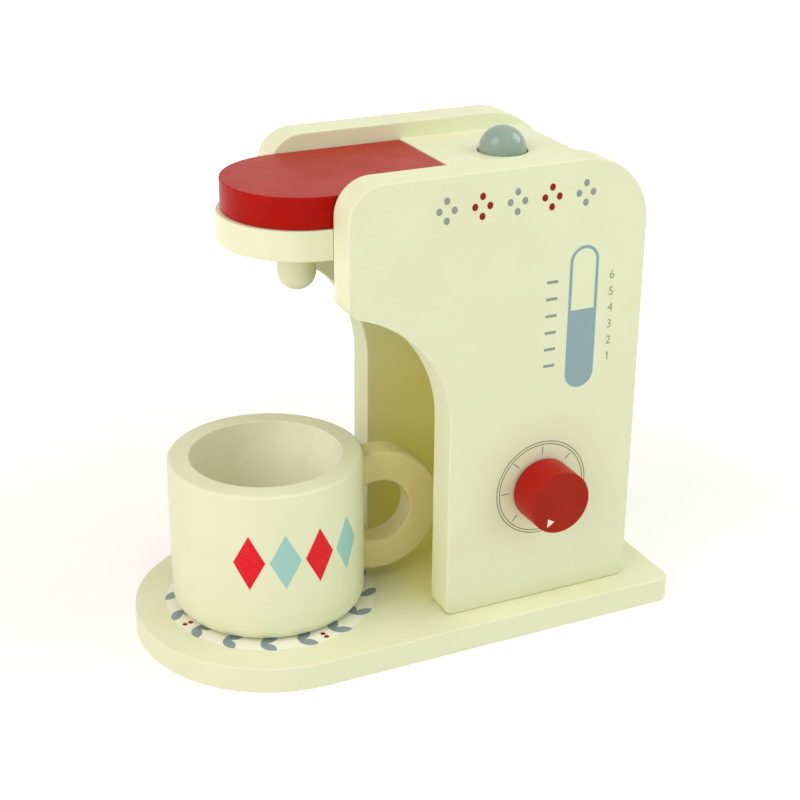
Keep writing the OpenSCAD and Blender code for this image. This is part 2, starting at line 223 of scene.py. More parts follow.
class Sketch:
    """An outline that is drawn point by point, and then filled, pulled or turned."""

    def __init__(self, name: str, sheet: Sheet, start: Point) -> None:
        """Puts the pencil down.

        Args:
            name: The name of the piece that comes of it.
            sheet: The sheet to draw on.
            start: The first point.
        """
        deselect_all()
        bpy.ops.mesh.primitive_plane_add(size=MM, enter_editmode=True)
        self.piece = bpy.context.object
        self.piece.name = self.piece.data.name = name
        self.sheet = sheet
        self.pencil = start
        bpy.ops.mesh.select_mode(type="VERT")
        bpy.ops.mesh.merge(type="CENTER")
        bpy.ops.transform.translate(value=sheet.at(start))

    def line_to(self, *points: Point) -> Sketch:
        """Draws straight lines to the next points.

        Args:
            points: The points, in order.

        Returns:
            The outline.
        """
        for point in points:
            step = self.sheet.at(point) - self.sheet.at(self.pencil)
            bpy.ops.mesh.extrude_vertices_move(TRANSFORM_OT_translate={"value": step})
            self.pencil = point
        return self

    def arc(self, centre: Point, degrees: float) -> Sketch:
        """Draws an arc, which starts where the pencil is.

        Args:
            centre: The point that it goes round.
            degrees: How far it goes, leftwards where this is positive.

        Returns:
            The outline.
        """
        steps = max(2, math.ceil(abs(degrees) / ARC_STEP))
        bpy.ops.mesh.spin(
            steps=steps,
            angle=-math.radians(degrees),
            center=self.sheet.at(centre),
            axis=self.sheet.facing,
        )
        reach = Vector(self.pencil) - Vector(centre)
        reach.rotate(Matrix.Rotation(math.radians(degrees), 2))
        self.pencil = tuple(Vector(centre) + reach)
        return self

    def corner(self, sharp: Point, radius: float, side: int = 1) -> Sketch:
        """Draws a straight line towards a right-angled corner, and goes round it in an arc.

        Args:
            sharp: Where the corner would be without its arc.
            radius: The radius of the arc.
            side: 1 where the outline turns left there, and -1 where it turns right.

        Returns:
            The outline.
        """
        way = (Vector(sharp) - Vector(self.pencil)).normalized()
        inward = side * way.orthogonal()
        self.line_to(Vector(sharp) - radius * way)
        return self.arc(Vector(sharp) + radius * (inward - way), side * 90)

    def fill(self) -> bpy.types.Object:
        """Closes the outline into one flat face.

        Returns:
            The flat piece.
        """
        bpy.ops.mesh.select_all(action="SELECT")
        bpy.ops.mesh.remove_doubles(threshold=SAME_POINT)
        bpy.ops.mesh.edge_face_add()
        bpy.ops.object.mode_set(mode="OBJECT")
        return self.piece

    def pull(self, depth: float) -> bpy.types.Object:
        """Closes the outline and pulls it into a board, out of the sheet's face.

        Args:
            depth: The board's thickness.

        Returns:
            The board.
        """
        with editing(self.fill(), "VERT"):
            bpy.ops.mesh.select_all(action="SELECT")
            bpy.ops.mesh.extrude_region_move(
                TRANSFORM_OT_translate={"value": depth * self.sheet.facing}
            )
            bpy.ops.mesh.select_all(action="SELECT")
            bpy.ops.mesh.normals_make_consistent(inside=False)
        return self.piece

    def turn(self, steps: int, degrees: float = 360.0) -> bpy.types.Object:
        """Turns the outline about the sheet's upward ruler.

        Args:
            steps: The number of facets round the turn.
            degrees: How far it is turned.

        Returns:
            The turned piece, with its seam and poles closed.
        """
        bpy.ops.mesh.select_all(action="SELECT")
        bpy.ops.mesh.spin(
            steps=steps,
            angle=-math.radians(degrees),
            center=self.sheet.zero,
            axis=self.sheet.up,
        )
        bpy.ops.mesh.select_all(action="SELECT")
        bpy.ops.mesh.remove_doubles(threshold=SAME_POINT)
        bpy.ops.mesh.normals_make_consistent(inside=False)
        bpy.ops.object.mode_set(mode="OBJECT")
        return self.piece


def round_nosed(name: str, sheet: Sheet, nose_x: float, back_x: float, half: float) -> Sketch:
    """Draws a board's plan with square back corners and a half-round nose towards -X.

    Args:
        name: The piece's name.
        sheet: The level sheet to draw on.
        nose_x: Where the half-round nose has its centre.
        back_x: Where the board ends.
        half: Half of the board's width.

    Returns:
        The finished outline.
    """
    outline = Sketch(name, sheet, (nose_x, -half))
    outline.line_to((back_x, -half), (back_x, half), (nose_x, half))
    return outline.arc((nose_x, 0), 180)


def rectangle(name: str, sheet: Sheet, low: Point, high: Point) -> Sketch:
    """Draws a rectangle.

    Args:
        name: The piece's name.
        sheet: The sheet to draw on.
        low: The corner where both rulers are lowest.
        high: The opposite corner.

    Returns:
        The finished outline.
    """
    return Sketch(name, sheet, low).line_to((high[0], low[1]), high, (low[0], high[1]))


def round_rim(
    piece: bpy.types.Object,
    facing: Vector,
    radius: float,
    keep: VectorTest = lambda start, end: True,
    segments: int = 4,
) -> None:
    """Rounds the edge round the flat face that lies furthest along a direction.

    Args:
        piece: The piece to work on.
        facing: The direction that the flat face looks in.
        radius: The radius of the rounding.
        keep: Says which of the face's edges are rounded, by their two ends.
        segments: The number of steps across the rounding.
    """
    with editing(piece, "FACE") as mesh:
        looking = [f for f in mesh.faces if f.normal.dot(facing) > FLAT]
        furthest = max(f.calc_center_median().dot(facing) for f in looking)
        for face in looking:
            face.select_set(furthest - face.calc_center_median().dot(facing) < SAME_POINT)
        bpy.ops.mesh.region_to_loop()
        for edge in mesh.edges:
            if edge.select and not keep(*(v.co for v in edge.verts)):
                edge.select_set(False)
        mesh.select_flush_mode()
        bpy.ops.mesh.bevel(offset=radius, segments=segments, affect="EDGES", clamp_overlap=False)


def cut_away(piece: bpy.types.Object, *cutters: bpy.types.Object) -> None:
    """Cuts the shapes of some cutters out of a piece, and clears the cutters away.

    Args:
        piece: The piece to cut.
        cutters: The cutters.
    """
    for cutter in cutters:
        apply_modifier(piece, "BOOLEAN", operation="DIFFERENCE", solver="EXACT", object=cutter)
        bpy.data.objects.remove(cutter)


def drill_bit(
    centre: Vector, along: Vector, radius: float, length: float, tip_radius: float | None = None
) -> bpy.types.Object:
    """Makes a round cutter, which starts at a point and runs along a direction.

    Args:
        centre: The middle of its first end.
        along: The direction that it runs in.
        radius: Its radius at the first end.
        length: Its length.
        tip_radius: Its radius at the far end, where that differs.

    Returns:
        The cutter.
    """
    deselect_all()
    bpy.ops.mesh.primitive_cone_add(
        vertices=BIT_FACETS,
        radius1=radius,
        radius2=radius if tip_radius is None else tip_radius,
        depth=length,
        location=centre + along * length / 2,
        rotation=along.to_track_quat("Z", "Y").to_euler(),
    )
    return bpy.context.object


def plane_off(piece: bpy.types.Object, point: Vector, outward: Vector, fill: bool = True) -> None:
    """Planes away what lies beyond a flat cut.

    Args:
        piece: The piece to work on.
        point: A point on the cut.
        outward: The direction that the cut's waste lies in.
        fill: Whether the cut is closed with a face.
    """
    with editing(piece):
        bpy.ops.mesh.select_all(action="SELECT")
        bpy.ops.mesh.bisect(
            plane_co=point,
            plane_no=outward,
            use_fill=fill,
            clear_outer=True,
            threshold=ON_PLANE,
        )


def apply_modifier(piece: bpy.types.Object, kind: str, **settings: object) -> None:
    """Adds a modifier and applies it.

    Args:
        piece: The piece to work on.
        kind: The modifier's type.
        settings: The modifier's own settings.
    """
    pick(piece)
    bpy.ops.object.modifier_add(type=kind)
    modifier = piece.modifiers[-1]
    for name, value in settings.items():
        setattr(modifier, name, value)
    bpy.ops.object.modifier_apply(modifier=modifier.name)


def smooth(piece: bpy.types.Object, angle: float = 35.0) -> bpy.types.Object:
    """Shades rounded edges smooth and keeps the flat faces flat.

    Args:
        piece: The piece to work on.
        angle: The sharpest turn between two faces that is still smooth, in degrees.

    Returns:
        The piece.
    """
    pick(piece)
    bpy.ops.object.shade_smooth_by_angle(angle=math.radians(angle))
    apply_modifier(piece, "WEIGHTED_NORMAL", keep_sharp=True, weight=100)
    return piece


def settle(piece: bpy.types.Object, place: Matrix) -> bpy.types.Object:
    """Moves a piece to its place, and leaves the place in its mesh.

    Args:
        piece: The piece, modelled about the frame's zero.
        place: Where it goes.

    Returns:
        The piece.
    """
    piece.matrix_world = place
    pick(piece)
    bpy.ops.object.transform_apply(location=True, rotation=True, scale=True)
    return piece


def join(name: str, *pieces: bpy.types.Object) -> bpy.types.Object:
    """Joins pieces into one.

    Args:
        name: The name of the joined piece.
        pieces: The pieces. The first one holds the others afterwards.

    Returns:
        The joined piece.
    """
    pick(*pieces)
    bpy.ops.object.join()
    pieces[0].name = pieces[0].data.name = name
    return pieces[0]


def repeat(piece: bpy.types.Object, places: Iterable[Matrix]) -> bpy.types.Object:
    """Copies a piece to several places, and joins the copies into one.

    Args:
        piece: The piece, modelled about the frame's zero. It becomes the first copy.
        places: Where each copy goes.

    Returns:
        The joined piece.
    """
    places = list(places)
    copies = [piece]
    for _ in places[1:]:
        pick(piece)
        bpy.ops.object.duplicate(linked=False)
        copies.append(bpy.context.object)
    for copy, place in zip(copies, places):
        copy.matrix_world = place
    pick(*copies)
    if len(copies) > 1:
        bpy.ops.object.join()
    bpy.ops.object.transform_apply(location=True, rotation=True, scale=True)
    return piece


def thicken(piece: bpy.types.Object, thickness: float = INK) -> bpy.types.Object:
    """Gives a flat print its thin film of ink, half of it above the paint."""
    apply_modifier(piece, "SOLIDIFY", thickness=thickness, offset=0.0)
    return piece


# ---------------------------------------------------------------- shader nodes


def screen(red: int, green: int, blue: int) -> Colour:
    """Turns a screen colour of 0 to 255 into the linear one that a shader takes."""

    def linear(level: float) -> float:
        return level / 12.92 if level <= 0.04045 else ((level + 0.055) / 1.055) ** 2.4

    return (linear(red / 255), linear(green / 255), linear(blue / 255), 1.0)


SHADER_PLACE = (3000, 0)
OUTPUT_PLACE = (3300, 0)


class NodeBench:
    """Lays shader nodes out from left to right and joins their sockets."""

    def __init__(self, tree: bpy.types.NodeTree) -> None:
        """Takes its place at a tree.

        Args:
            tree: The tree to work in.
        """
        self.tree = tree
        self.spacing = 220
        self.count = 0

    def add(self, kind: str, sockets: dict | None = None, **settings: object) -> bpy.types.Node:
        """Adds a node.

        Args:
            kind: The node's type, without its ShaderNode prefix.
            sockets: Values for its inputs, or the outputs that feed them.
            settings: The node's own settings.

        Returns:
            The new node.
        """
        node = self.tree.nodes.new("ShaderNode" + kind)
        node.location = (self.spacing * self.count, 0)
        self.count += 1
        for name, value in settings.items():
            setattr(node, name, value)
        self.feed_all(node, sockets or {})
        return node

    def feed_all(self, node: bpy.types.Node, sockets: dict) -> None:
        """Joins or sets several inputs of a node."""
        for key, value in sockets.items():
            self.feed(value, node.inputs[key])

    def feed(self, value: object, socket: bpy.types.NodeSocket) -> None:
        """Joins an output to an input, or sets the input's own value."""
        if isinstance(value, bpy.types.NodeSocket):
            self.tree.links.new(value, socket)
        else:
            socket.default_value = value

    def sum(self, kind: str, *values: object) -> bpy.types.NodeSocket:
        """Works out a number from one, two or three others."""
        return self.add("Math", dict(enumerate(values)), operation=kind).outputs[0]

    def product(self, *shares: object) -> bpy.types.NodeSocket:
        """Multiplies several numbers.

        Args:
            shares: The numbers, or the outputs that hold them.

        Returns:
            Their product.
        """
        result = shares[0]
        for share in shares[1:]:
            result = self.sum("MULTIPLY", result, share)
        return result

    def vector(self, kind: str, *values: object) -> bpy.types.NodeSocket:
        """Works out a vector from two others."""
        return self.add("VectorMath", dict(enumerate(values)), operation=kind).outputs[0]

    def in_units(self, place: object, size: object) -> bpy.types.NodeSocket:
        """Scales a place, so that features of a size come out one unit across."""
        scale = self.sum("DIVIDE", 1.0, size)
        return self.add("VectorMath", {0: place, "Scale": scale}, operation="SCALE").outputs[0]

    def between(self, value: object, low: float, high: float) -> bpy.types.NodeSocket:
        """Fades smoothly from 0 at one level of a value to 1 at another.

        Args:
            value: The value to read.
            low: The level that gives 0.
            high: The level that gives 1.

        Returns:
            The faded share.
        """
        node = self.add(
            "MapRange",
            {"Value": value, "From Min": low, "From Max": high},
            interpolation_type="SMOOTHSTEP",
        )
        return node.outputs["Result"]

    def mix(self, share: object, first: object, second: object) -> bpy.types.NodeSocket:
        """Mixes two colours by a share of the second."""
        return self.add("Mix", {0: share, 6: first, 7: second}, data_type="RGBA").outputs[2]

    def noise(
        self, place: object, detail: float = 2.0, roughness: float = 0.5
    ) -> bpy.types.NodeSocket:
        """Makes soft noise with features about one unit across.

        Args:
            place: The place on the piece, in those units.
            detail: How many finer layers it has.
            roughness: How strong the finer layers are.

        Returns:
            The level of the noise.
        """
        settings = {"Vector": place, "Scale": 1.0, "Detail": detail, "Roughness": roughness}
        return self.add("TexNoise", settings).outputs["Fac"]


class Effect:
    """A shader group that more than one material uses, with named inputs and outputs."""

    KINDS = {float: "NodeSocketFloat", tuple: "NodeSocketColor", Vector: "NodeSocketVector"}

    def __init__(self, name: str, inputs: dict[str, object], outputs: dict[str, type]) -> None:
        """Makes the group's sockets.

        Args:
            name: The group's name.
            inputs: Each input's default, whose type says what kind of socket it is.
            outputs: Each output's type.
        """
        self.tree = bpy.data.node_groups.new(name, "ShaderNodeTree")
        for key, default in inputs.items():
            kind = self.KINDS[type(default)]
            socket = self.tree.interface.new_socket(key, in_out="INPUT", socket_type=kind)
            if not isinstance(default, Vector):
                socket.default_value = default
        for key, kind in outputs.items():
            self.tree.interface.new_socket(key, in_out="OUTPUT", socket_type=self.KINDS[kind])
        self.bench = NodeBench(self.tree)
        self.given = self.tree.nodes.new("NodeGroupInput").outputs
        self.result = self.tree.nodes.new("NodeGroupOutput").inputs

    def give(self, **results: bpy.types.NodeSocket) -> None:
        """Joins the results to the group's outputs, by their names."""
        for key, value in results.items():
            self.bench.feed(value, self.result[key.replace("_", " ")])

    def place(self, bench: NodeBench, sockets: dict[str, object]) -> bpy.types.Node:
        """Places the group in a material with values of its own."""
        return bench.add("Group", sockets, node_tree=self.tree)


def paint_film() -> Effect:
    """A brushed or sprayed coat: cloudy where it is thinner, with a faintly uneven skin.

    Returns:
        The group, which puts out the coat's colour, roughness and height.
    """
    effect = Effect(
        "paint film",
        {
            "Vector": Vector(),
            "Colour": WHITE,
            "Thin Colour": WHITE,
            "Cloud Size": 20 * MM,
            "Skin Size": 2 * MM,
            "Roughness": 0.4,
            "Unevenness": 0.1,
        },
        {"Colour": tuple, "Roughness": float, "Height": float},
    )
    thin_from, thin_to, middle = 0.38, 0.72, 0.5
    bench, given = effect.bench, effect.given
    cloud = bench.noise(bench.in_units(given["Vector"], given["Cloud Size"]), 3.0, 0.55)
    thin = bench.between(cloud, thin_from, thin_to)
    swing = bench.product(bench.sum("SUBTRACT", cloud, middle), given["Unevenness"])
    effect.give(
        Colour=bench.mix(thin, given["Colour"], given["Thin Colour"]),
        Roughness=bench.sum("ADD", given["Roughness"], swing),
        Height=bench.noise(bench.in_units(given["Vector"], given["Skin Size"])),
    )
    return effect


def wood_pores() -> Effect:
    """Short open pores that run along the grain, which is the vector's X.

    Returns:
        The group, which puts out the pores and the wider streaks.
    """
    effect = Effect(
        "wood pores",
        {"Vector": Vector(), "Length": 4 * MM, "Width": 0.3 * MM, "Cover": 0.1},
        {"Mask": float, "Streaks": float},
    )
    highest, cover_drop, soft = 0.78, 0.4, 0.06
    streak_scale = (0.12, 0.2, 0.2)
    bench, given = effect.bench, effect.given
    pore = bench.add("CombineXYZ", {"X": given["Length"], "Y": given["Width"], "Z": given["Width"]})
    place = bench.vector("DIVIDE", given["Vector"], pore.outputs[0])
    edge = bench.sum("SUBTRACT", highest, bench.product(given["Cover"], cover_drop))
    over = bench.sum("SUBTRACT", bench.noise(place, detail=1.0), edge)
    wide = bench.vector("MULTIPLY", place, streak_scale)
    effect.give(
        Mask=bench.between(over, 0.0, soft),
        Streaks=bench.noise(wide, detail=3.0, roughness=0.6),
    )
    return effect


def turning_marks() -> Effect:
    """Fine rings that a lathe leaves, round the vector's Z.

    Returns:
        The group, which puts out the rings' height.
    """
    effect = Effect("turning marks", {"Vector": Vector(), "Pitch": 0.6 * MM}, {"Height": float})
    pitches_round = 30.0
    bench, given = effect.bench, effect.given
    drift = bench.product(given["Pitch"], pitches_round)
    size = bench.add("CombineXYZ", {"X": drift, "Y": drift, "Z": given["Pitch"]})
    place = bench.vector("DIVIDE", given["Vector"], size.outputs[0])
    effect.give(Height=bench.noise(place, detail=3.0, roughness=0.6))
    return effect


def edges_for_highlight_and_wear() -> Effect:
    """The rounded edges of a piece, where a painted highlight lightens the coat and chips wear it.

    Returns:
        The group, which puts out where the edges are.
    """
    effect = Effect("edges for painted highlight and wear", {"Radius": 1 * MM}, {"Mask": float})
    bend_from, bend_to = 0.005, 0.14
    bench, given = effect.bench, effect.given
    rounded = bench.add("Bevel", {"Radius": given["Radius"]}, samples=6).outputs[0]
    plain = bench.add("NewGeometry").outputs["Normal"]
    agree = bench.add("VectorMath", {0: rounded, 1: plain}, operation="DOT_PRODUCT")
    bend = bench.sum("SUBTRACT", 1.0, agree.outputs["Value"])
    effect.give(Mask=bench.between(bend, bend_from, bend_to))
    return effect


def specks() -> Effect:
    """Scattered tiny specks, of which only a share of the places has one.

    Returns:
        The group, which puts out where the specks are.
    """
    effect = Effect(
        "specks",
        {"Vector": Vector(), "Spacing": 4 * MM, "Share": 0.2, "Size": 0.15},
        {"Mask": float},
    )
    bench, given = effect.bench, effect.given
    place = bench.in_units(given["Vector"], given["Spacing"])
    cells = bench.add("TexVoronoi", {"Vector": place, "Scale": 1.0})
    chance = bench.add("SeparateColor", {"Color": cells.outputs["Color"]})
    here = bench.sum("LESS_THAN", chance.outputs[0], given["Share"])
    near = bench.sum("LESS_THAN", cells.outputs["Distance"], given["Size"])
    effect.give(Mask=bench.product(here, near))
    return effect


@dataclass(frozen=True)
class Effects:
    """The shader groups, each built once."""

    film: Effect = field(default_factory=paint_film)
    pores: Effect = field(default_factory=wood_pores)
    rings: Effect = field(default_factory=turning_marks)
    edges: Effect = field(default_factory=edges_for_highlight_and_wear)
    specks: Effect = field(default_factory=specks)


# ---------------------------------------------------------------- finishes


class Grain(Enum):
    """Which way a piece's grain runs, as the turn that brings it to a pattern's X."""

    ALONG_X = (0.0, 0.0, 0.0)
    ALONG_Y = (0.0, 0.0, -math.pi / 2)
    UPRIGHT = (0.0, math.pi / 2, 0.0)


def new_material(name: str) -> tuple[bpy.types.Material, NodeBench, bpy.types.Node]:
    """Makes an empty material with its shader.

    Args:
        name: The material's name.

    Returns:
        The material, the bench for its nodes, and its Principled shader.
    """
    material = bpy.data.materials.new(name)
    material.use_nodes = True
    tree = material.node_tree
    tree.nodes.clear()
    bench = NodeBench(tree)
    shader = tree.nodes.new("ShaderNodeBsdfPrincipled")
    shader.location = SHADER_PLACE
    output = tree.nodes.new("ShaderNodeOutputMaterial")
    output.location = OUTPUT_PLACE
    tree.links.new(shader.outputs[0], output.inputs["Surface"])
    return material, bench, shader


@dataclass(frozen=True)
class Work:
    """A material in the making: its bench, the shared groups, and the place on the piece."""

    bench: NodeBench
    effects: Effects
    place: bpy.types.NodeSocket
    grain: Grain | None

    def along_grain(self) -> bpy.types.NodeSocket:
        """Turns the place on the piece, so that the grain runs along X."""
        settings = {"Vector": self.place, "Rotation": self.grain.value}
        return self.bench.add("Mapping", settings).outputs[0]

    def lay(self, effect: Effect, **sockets: object) -> Mapping[str, bpy.types.NodeSocket]:
        """Lays a shared group over the piece.

        Args:
            effect: The group.
            sockets: Values for its inputs, which are called the same with capitals and spaces.

        Returns:
            The group's outputs.
        """
        named = {key.replace("_", " ").title(): value for key, value in sockets.items()}
        return effect.place(self.bench, {"Vector": self.place} | named).outputs


@dataclass(frozen=True)
class Finish:
    """A finish, which builds the material of the pieces that wear it."""

    name: str

    def surface(self, work: Work) -> dict[str, object]:
        """Lays the finish's own nodes.

        Args:
            work: The material in the making.

        Returns:
            What goes into the shader's inputs, and under Height what raises its bumps.
        """
        raise NotImplementedError

    def make(self, effects: Effects, grain: Grain | None = None) -> bpy.types.Material:
        """Builds the material.

        Args:
            effects: The shared shader groups.
            grain: Which way the wood's grain runs, where it has any.

        Returns:
            The material.
        """
        label = f"{self.name} {grain.name.lower()}" if grain else self.name
        material, bench, shader = new_material(label)
        place = bench.add("TexCoord").outputs["Object"]
        surface = self.surface(Work(bench, effects, place, grain))
        if "Height" in surface:
            bump = bench.add("Bump", {"Height": surface.pop("Height"), "Distance": 1.0})
            surface["Normal"] = bump.outputs[0]
        bench.feed_all(shader, surface)
        return material


@dataclass(frozen=True)
class Paint(Finish):
    """Paint on sanded wood. The grain and the turning show faintly through it."""

    colour: Colour
    thin_colour: Colour
    # painted highlight: the edge highlight colour is laid along the rounded edges, lighter than the
    # coat
    edge_highlight_colour: Colour
    roughness: float = 0.42
    unevenness: float = 0.25
    cloud: float = 22 * MM
    skin: float = 1.6 * MM
    skin_depth: float = 0.02 * MM
    pore_length: float = 5 * MM
    pore_width: float = 0.35 * MM
    pore_cover: float = 0.06
    pore_colour: Colour = screen(150, 140, 100)
    pore_strength: float = 0.2
    pore_depth: float = 0.06 * MM
    streak_strength: float = 0.0
    streak_colour: Colour = screen(120, 20, 16)
    streak_band: tuple[float, float] = (0.45, 0.75)
    ring_depth: float = 0.0
    ring_pitch: float = 0.7 * MM
    edge_highlight_strength: float = 0.85
    edge_size: float = 0.7 * MM
    chip_spacing: float = 7 * MM
    chip_share: float = 0.16
    chip_size: float = 0.045
    chip_strength: float = 0.6
    gloss: float = 0.25
    gloss_tint: Colour = WHITE
    # painted shade: a warm yellow tint for the faces between the side panels, stronger lower down,
    # in place of the shade colour that light bouncing there gives
    tunnel_shade_colour: Colour = screen(252, 246, 160)
    tunnel_shade_strength: float = 0.0
    tunnel_length: float = 71.5 * MM
    tunnel_mouth: float = 20 * MM
    tunnel_height: float = 85 * MM
    tunnel_fade: float = 0.6 * MM

    def surface(self, work: Work) -> dict[str, object]:
        """Lays the film, the grain that shows through it, the painted highlight and the worn chips
        along its edges, and the painted shade between the side panels.

        Args:
            work: The material in the making.

        Returns:
            What goes into the shader's inputs, and under Height what raises its bumps.
        """
        bench, effects = work.bench, work.effects
        film = work.lay(
            effects.film,
            colour=self.colour,
            thin_colour=self.thin_colour,
            cloud_size=self.cloud,
            skin_size=self.skin,
            roughness=self.roughness,
            unevenness=self.unevenness,
        )
        pores = work.lay(
            effects.pores,
            vector=work.along_grain(),
            length=self.pore_length,
            width=self.pore_width,
            cover=self.pore_cover,
        )
        chips = work.lay(
            effects.specks, spacing=self.chip_spacing, share=self.chip_share, size=self.chip_size
        )
        highlight_and_chip_edges = effects.edges.place(bench, {"Radius": self.edge_size}).outputs["Mask"]
        layers = [
            (pores["Mask"], self.pore_strength, self.pore_colour),
            # painted highlight along the rounded edges; the chips on the next line are real wear
            (highlight_and_chip_edges, self.edge_highlight_strength, self.edge_highlight_colour),
            (bench.product(chips["Mask"], highlight_and_chip_edges), self.chip_strength, self.pore_colour),
        ]
        # painted shade between the side panels
        if self.tunnel_shade_strength:
            layers.insert(0, (self.painted_tunnel_shade(work), self.tunnel_shade_strength, self.tunnel_shade_colour))
        if self.streak_strength:
            streaks = bench.between(pores["Streaks"], *self.streak_band)
            layers.insert(0, (streaks, self.streak_strength, self.streak_colour))
        tint = film["Colour"]
        for mask, strength, colour in layers:
            tint = bench.mix(bench.product(mask, strength), tint, colour)
        height = bench.sum(
            "SUBTRACT",
            bench.product(film["Height"], self.skin_depth),
            bench.product(pores["Mask"], self.pore_depth),
        )
        if self.ring_depth:
            rings = work.lay(effects.rings, pitch=self.ring_pitch)
            height = bench.sum("ADD", height, bench.product(rings["Height"], self.ring_depth))
        return {
            "Base Color": tint,
            "Roughness": film["Roughness"],
            "Height": height,
            "Specular IOR Level": self.gloss,
            "Specular Tint": self.gloss_tint,
        }

    def painted_tunnel_shade(self, work: Work) -> bpy.types.NodeSocket:
        """Finds the faces between the side panels, where the painted shade tint grows stronger
        lower down.

        Args:
            work: The material in the making.

        Returns:
            The share of the painted shade tint.
        """
        bench, fade = work.bench, self.tunnel_fade
        panel, shelf_z = Block.of("plain_side_panel"), Block.of("brew_shelf").low.z
        back, inner, foot = Block.of("back_panel").low.x, panel.low.y, panel.low.z
        front = panel.high.x - self.tunnel_length
        x, y, z = bench.add("SeparateXYZ", {0: work.place}).outputs
        return bench.product(
            bench.between(bench.sum("ABSOLUTE", y), inner + fade, inner + fade / 8),
            bench.between(x, front - self.tunnel_mouth, front + self.tunnel_mouth),
            bench.between(x, back + fade, back + fade / 8),
            bench.between(z, shelf_z + fade, shelf_z - self.tunnel_height),
            bench.between(z, foot - fade, foot - fade / 8),
        )


@dataclass(frozen=True)
class Ink(Finish):
    """Printing ink, with the pinholes that a screen print has."""

    colour: Colour
    pinhole_colour: Colour
    pinholes: float = 0.1
    pinhole_strength: float = 0.45
    pinhole_spacing: float = 0.4 * MM
    pinhole_size: float = 0.35
    cloud: float = 6 * MM
    roughness: float = 0.45
    unevenness: float = 0.15
    gloss: float = 0.2

    def surface(self, work: Work) -> dict[str, object]:
        """Lays the ink and its pinholes.

        Args:
            work: The material in the making.

        Returns:
            What goes into the shader's inputs.
        """
        film = work.lay(
            work.effects.film,
            colour=self.colour,
            thin_colour=self.colour,
            cloud_size=self.cloud,
            roughness=self.roughness,
            unevenness=self.unevenness,
        )
        holes = work.lay(
            work.effects.specks,
            spacing=self.pinhole_spacing,
            share=self.pinholes,
            size=self.pinhole_size,
        )
        share = work.bench.product(holes["Mask"], self.pinhole_strength)
        return {
            "Base Color": work.bench.mix(share, film["Colour"], self.pinhole_colour),
            "Roughness": film["Roughness"],
            "Specular IOR Level": self.gloss,
        }


@dataclass(frozen=True)
class BareWood(Finish):
    """Sanded, unpainted beech."""

    light: Colour = screen(222, 192, 148)
    dark: Colour = screen(178, 138, 92)
    roughness: float = 0.62
    pore_length: float = 3 * MM
    pore_width: float = 0.25 * MM
    pore_cover: float = 0.4
    pore_strength: float = 0.5
    pore_depth: float = 0.05 * MM
    streak_band: tuple[float, float] = (0.3, 0.75)

    def surface(self, work: Work) -> dict[str, object]:
        """Lays the streaks and the pores of the wood.

        Args:
            work: The material in the making.

        Returns:
            What goes into the shader's inputs, and under Height what raises its bumps.
        """
        bench = work.bench
        pores = work.lay(
            work.effects.pores,
            vector=work.along_grain(),
            length=self.pore_length,
            width=self.pore_width,
            cover=self.pore_cover,
        )
        tint = bench.mix(bench.between(pores["Streaks"], *self.streak_band), self.light, self.dark)
        return {
            "Base Color": bench.mix(
                bench.product(pores["Mask"], self.pore_strength), tint, self.dark
            ),
            "Roughness": self.roughness,
            "Height": bench.product(pores["Mask"], -self.pore_depth),
        }


@dataclass(frozen=True)
class Uncoated(Finish):
    """Steel or felt as it comes."""

    colour: Colour
    thin_colour: Colour
    cloud: float
    skin: float
    skin_depth: float
    roughness: float
    unevenness: float
    metallic: float = 0.0
    sheen: float = 0.0

    def surface(self, work: Work) -> dict[str, object]:
        """Lays the material's own clouds and skin.

        Args:
            work: The material in the making.

        Returns:
            What goes into the shader's inputs, and under Height what raises its bumps.
        """
        film = work.lay(
            work.effects.film,
            colour=self.colour,
            thin_colour=self.thin_colour,
            cloud_size=self.cloud,
            skin_size=self.skin,
            roughness=self.roughness,
            unevenness=self.unevenness,
        )
        return {
            "Base Color": film["Colour"],
            "Roughness": film["Roughness"],
            "Height": work.bench.product(film["Height"], self.skin_depth),
            "Metallic": self.metallic,
            "Sheen Weight": self.sheen,
        }


BARE_WOOD = BareWood("bare wood")
ZINC_STEEL = Uncoated(
    name="zinc steel",
    colour=screen(196, 198, 200),
    thin_colour=screen(170, 172, 178),
    cloud=3 * MM,
    skin=0.3 * MM,
    skin_depth=0.01 * MM,
    roughness=0.32,
    unevenness=0.3,
    metallic=1.0,
)
WOOL_FELT = Uncoated(
    name="wool felt",
    colour=screen(186, 182, 168),
    thin_colour=screen(150, 146, 134),
    cloud=0.6 * MM,
    skin=0.15 * MM,
    skin_depth=0.1 * MM,
    roughness=0.9,
    unevenness=0.1,
    sheen=0.4,
)
CREAM_COLOURS = {
    "colour": screen(226, 231, 196),
    "thin_colour": screen(225, 228, 190),
    # painted highlight colour for the rounded edges of the cream pieces
    "edge_highlight_colour": screen(250, 248, 222),
}
RED_COLOURS = {
    "colour": screen(168, 10, 12),
    "thin_colour": screen(160, 14, 12),
    "pore_colour": screen(104, 10, 6),
    "gloss": 0.19,
    "gloss_tint": (0.9, 1.0, 0.5, 1.0),
}
# the cream of the boards carries the painted tunnel shade
CREAM = Paint(name="cream paint", tunnel_shade_strength=0.9, **CREAM_COLOURS)
CUP_CREAM = Paint(name="cup cream paint", ring_depth=0.05 * MM, **CREAM_COLOURS)
# painted shade: the handle takes a yellower copy of the cream, the warm tint of the shade it sits
# in beside the cup
HANDLE_SHADE_CREAM = Paint(
    name="handle cream paint with painted shade",
    colour=screen(232, 223, 164),
    thin_colour=screen(228, 215, 150),
    edge_highlight_colour=screen(236, 230, 176),
)
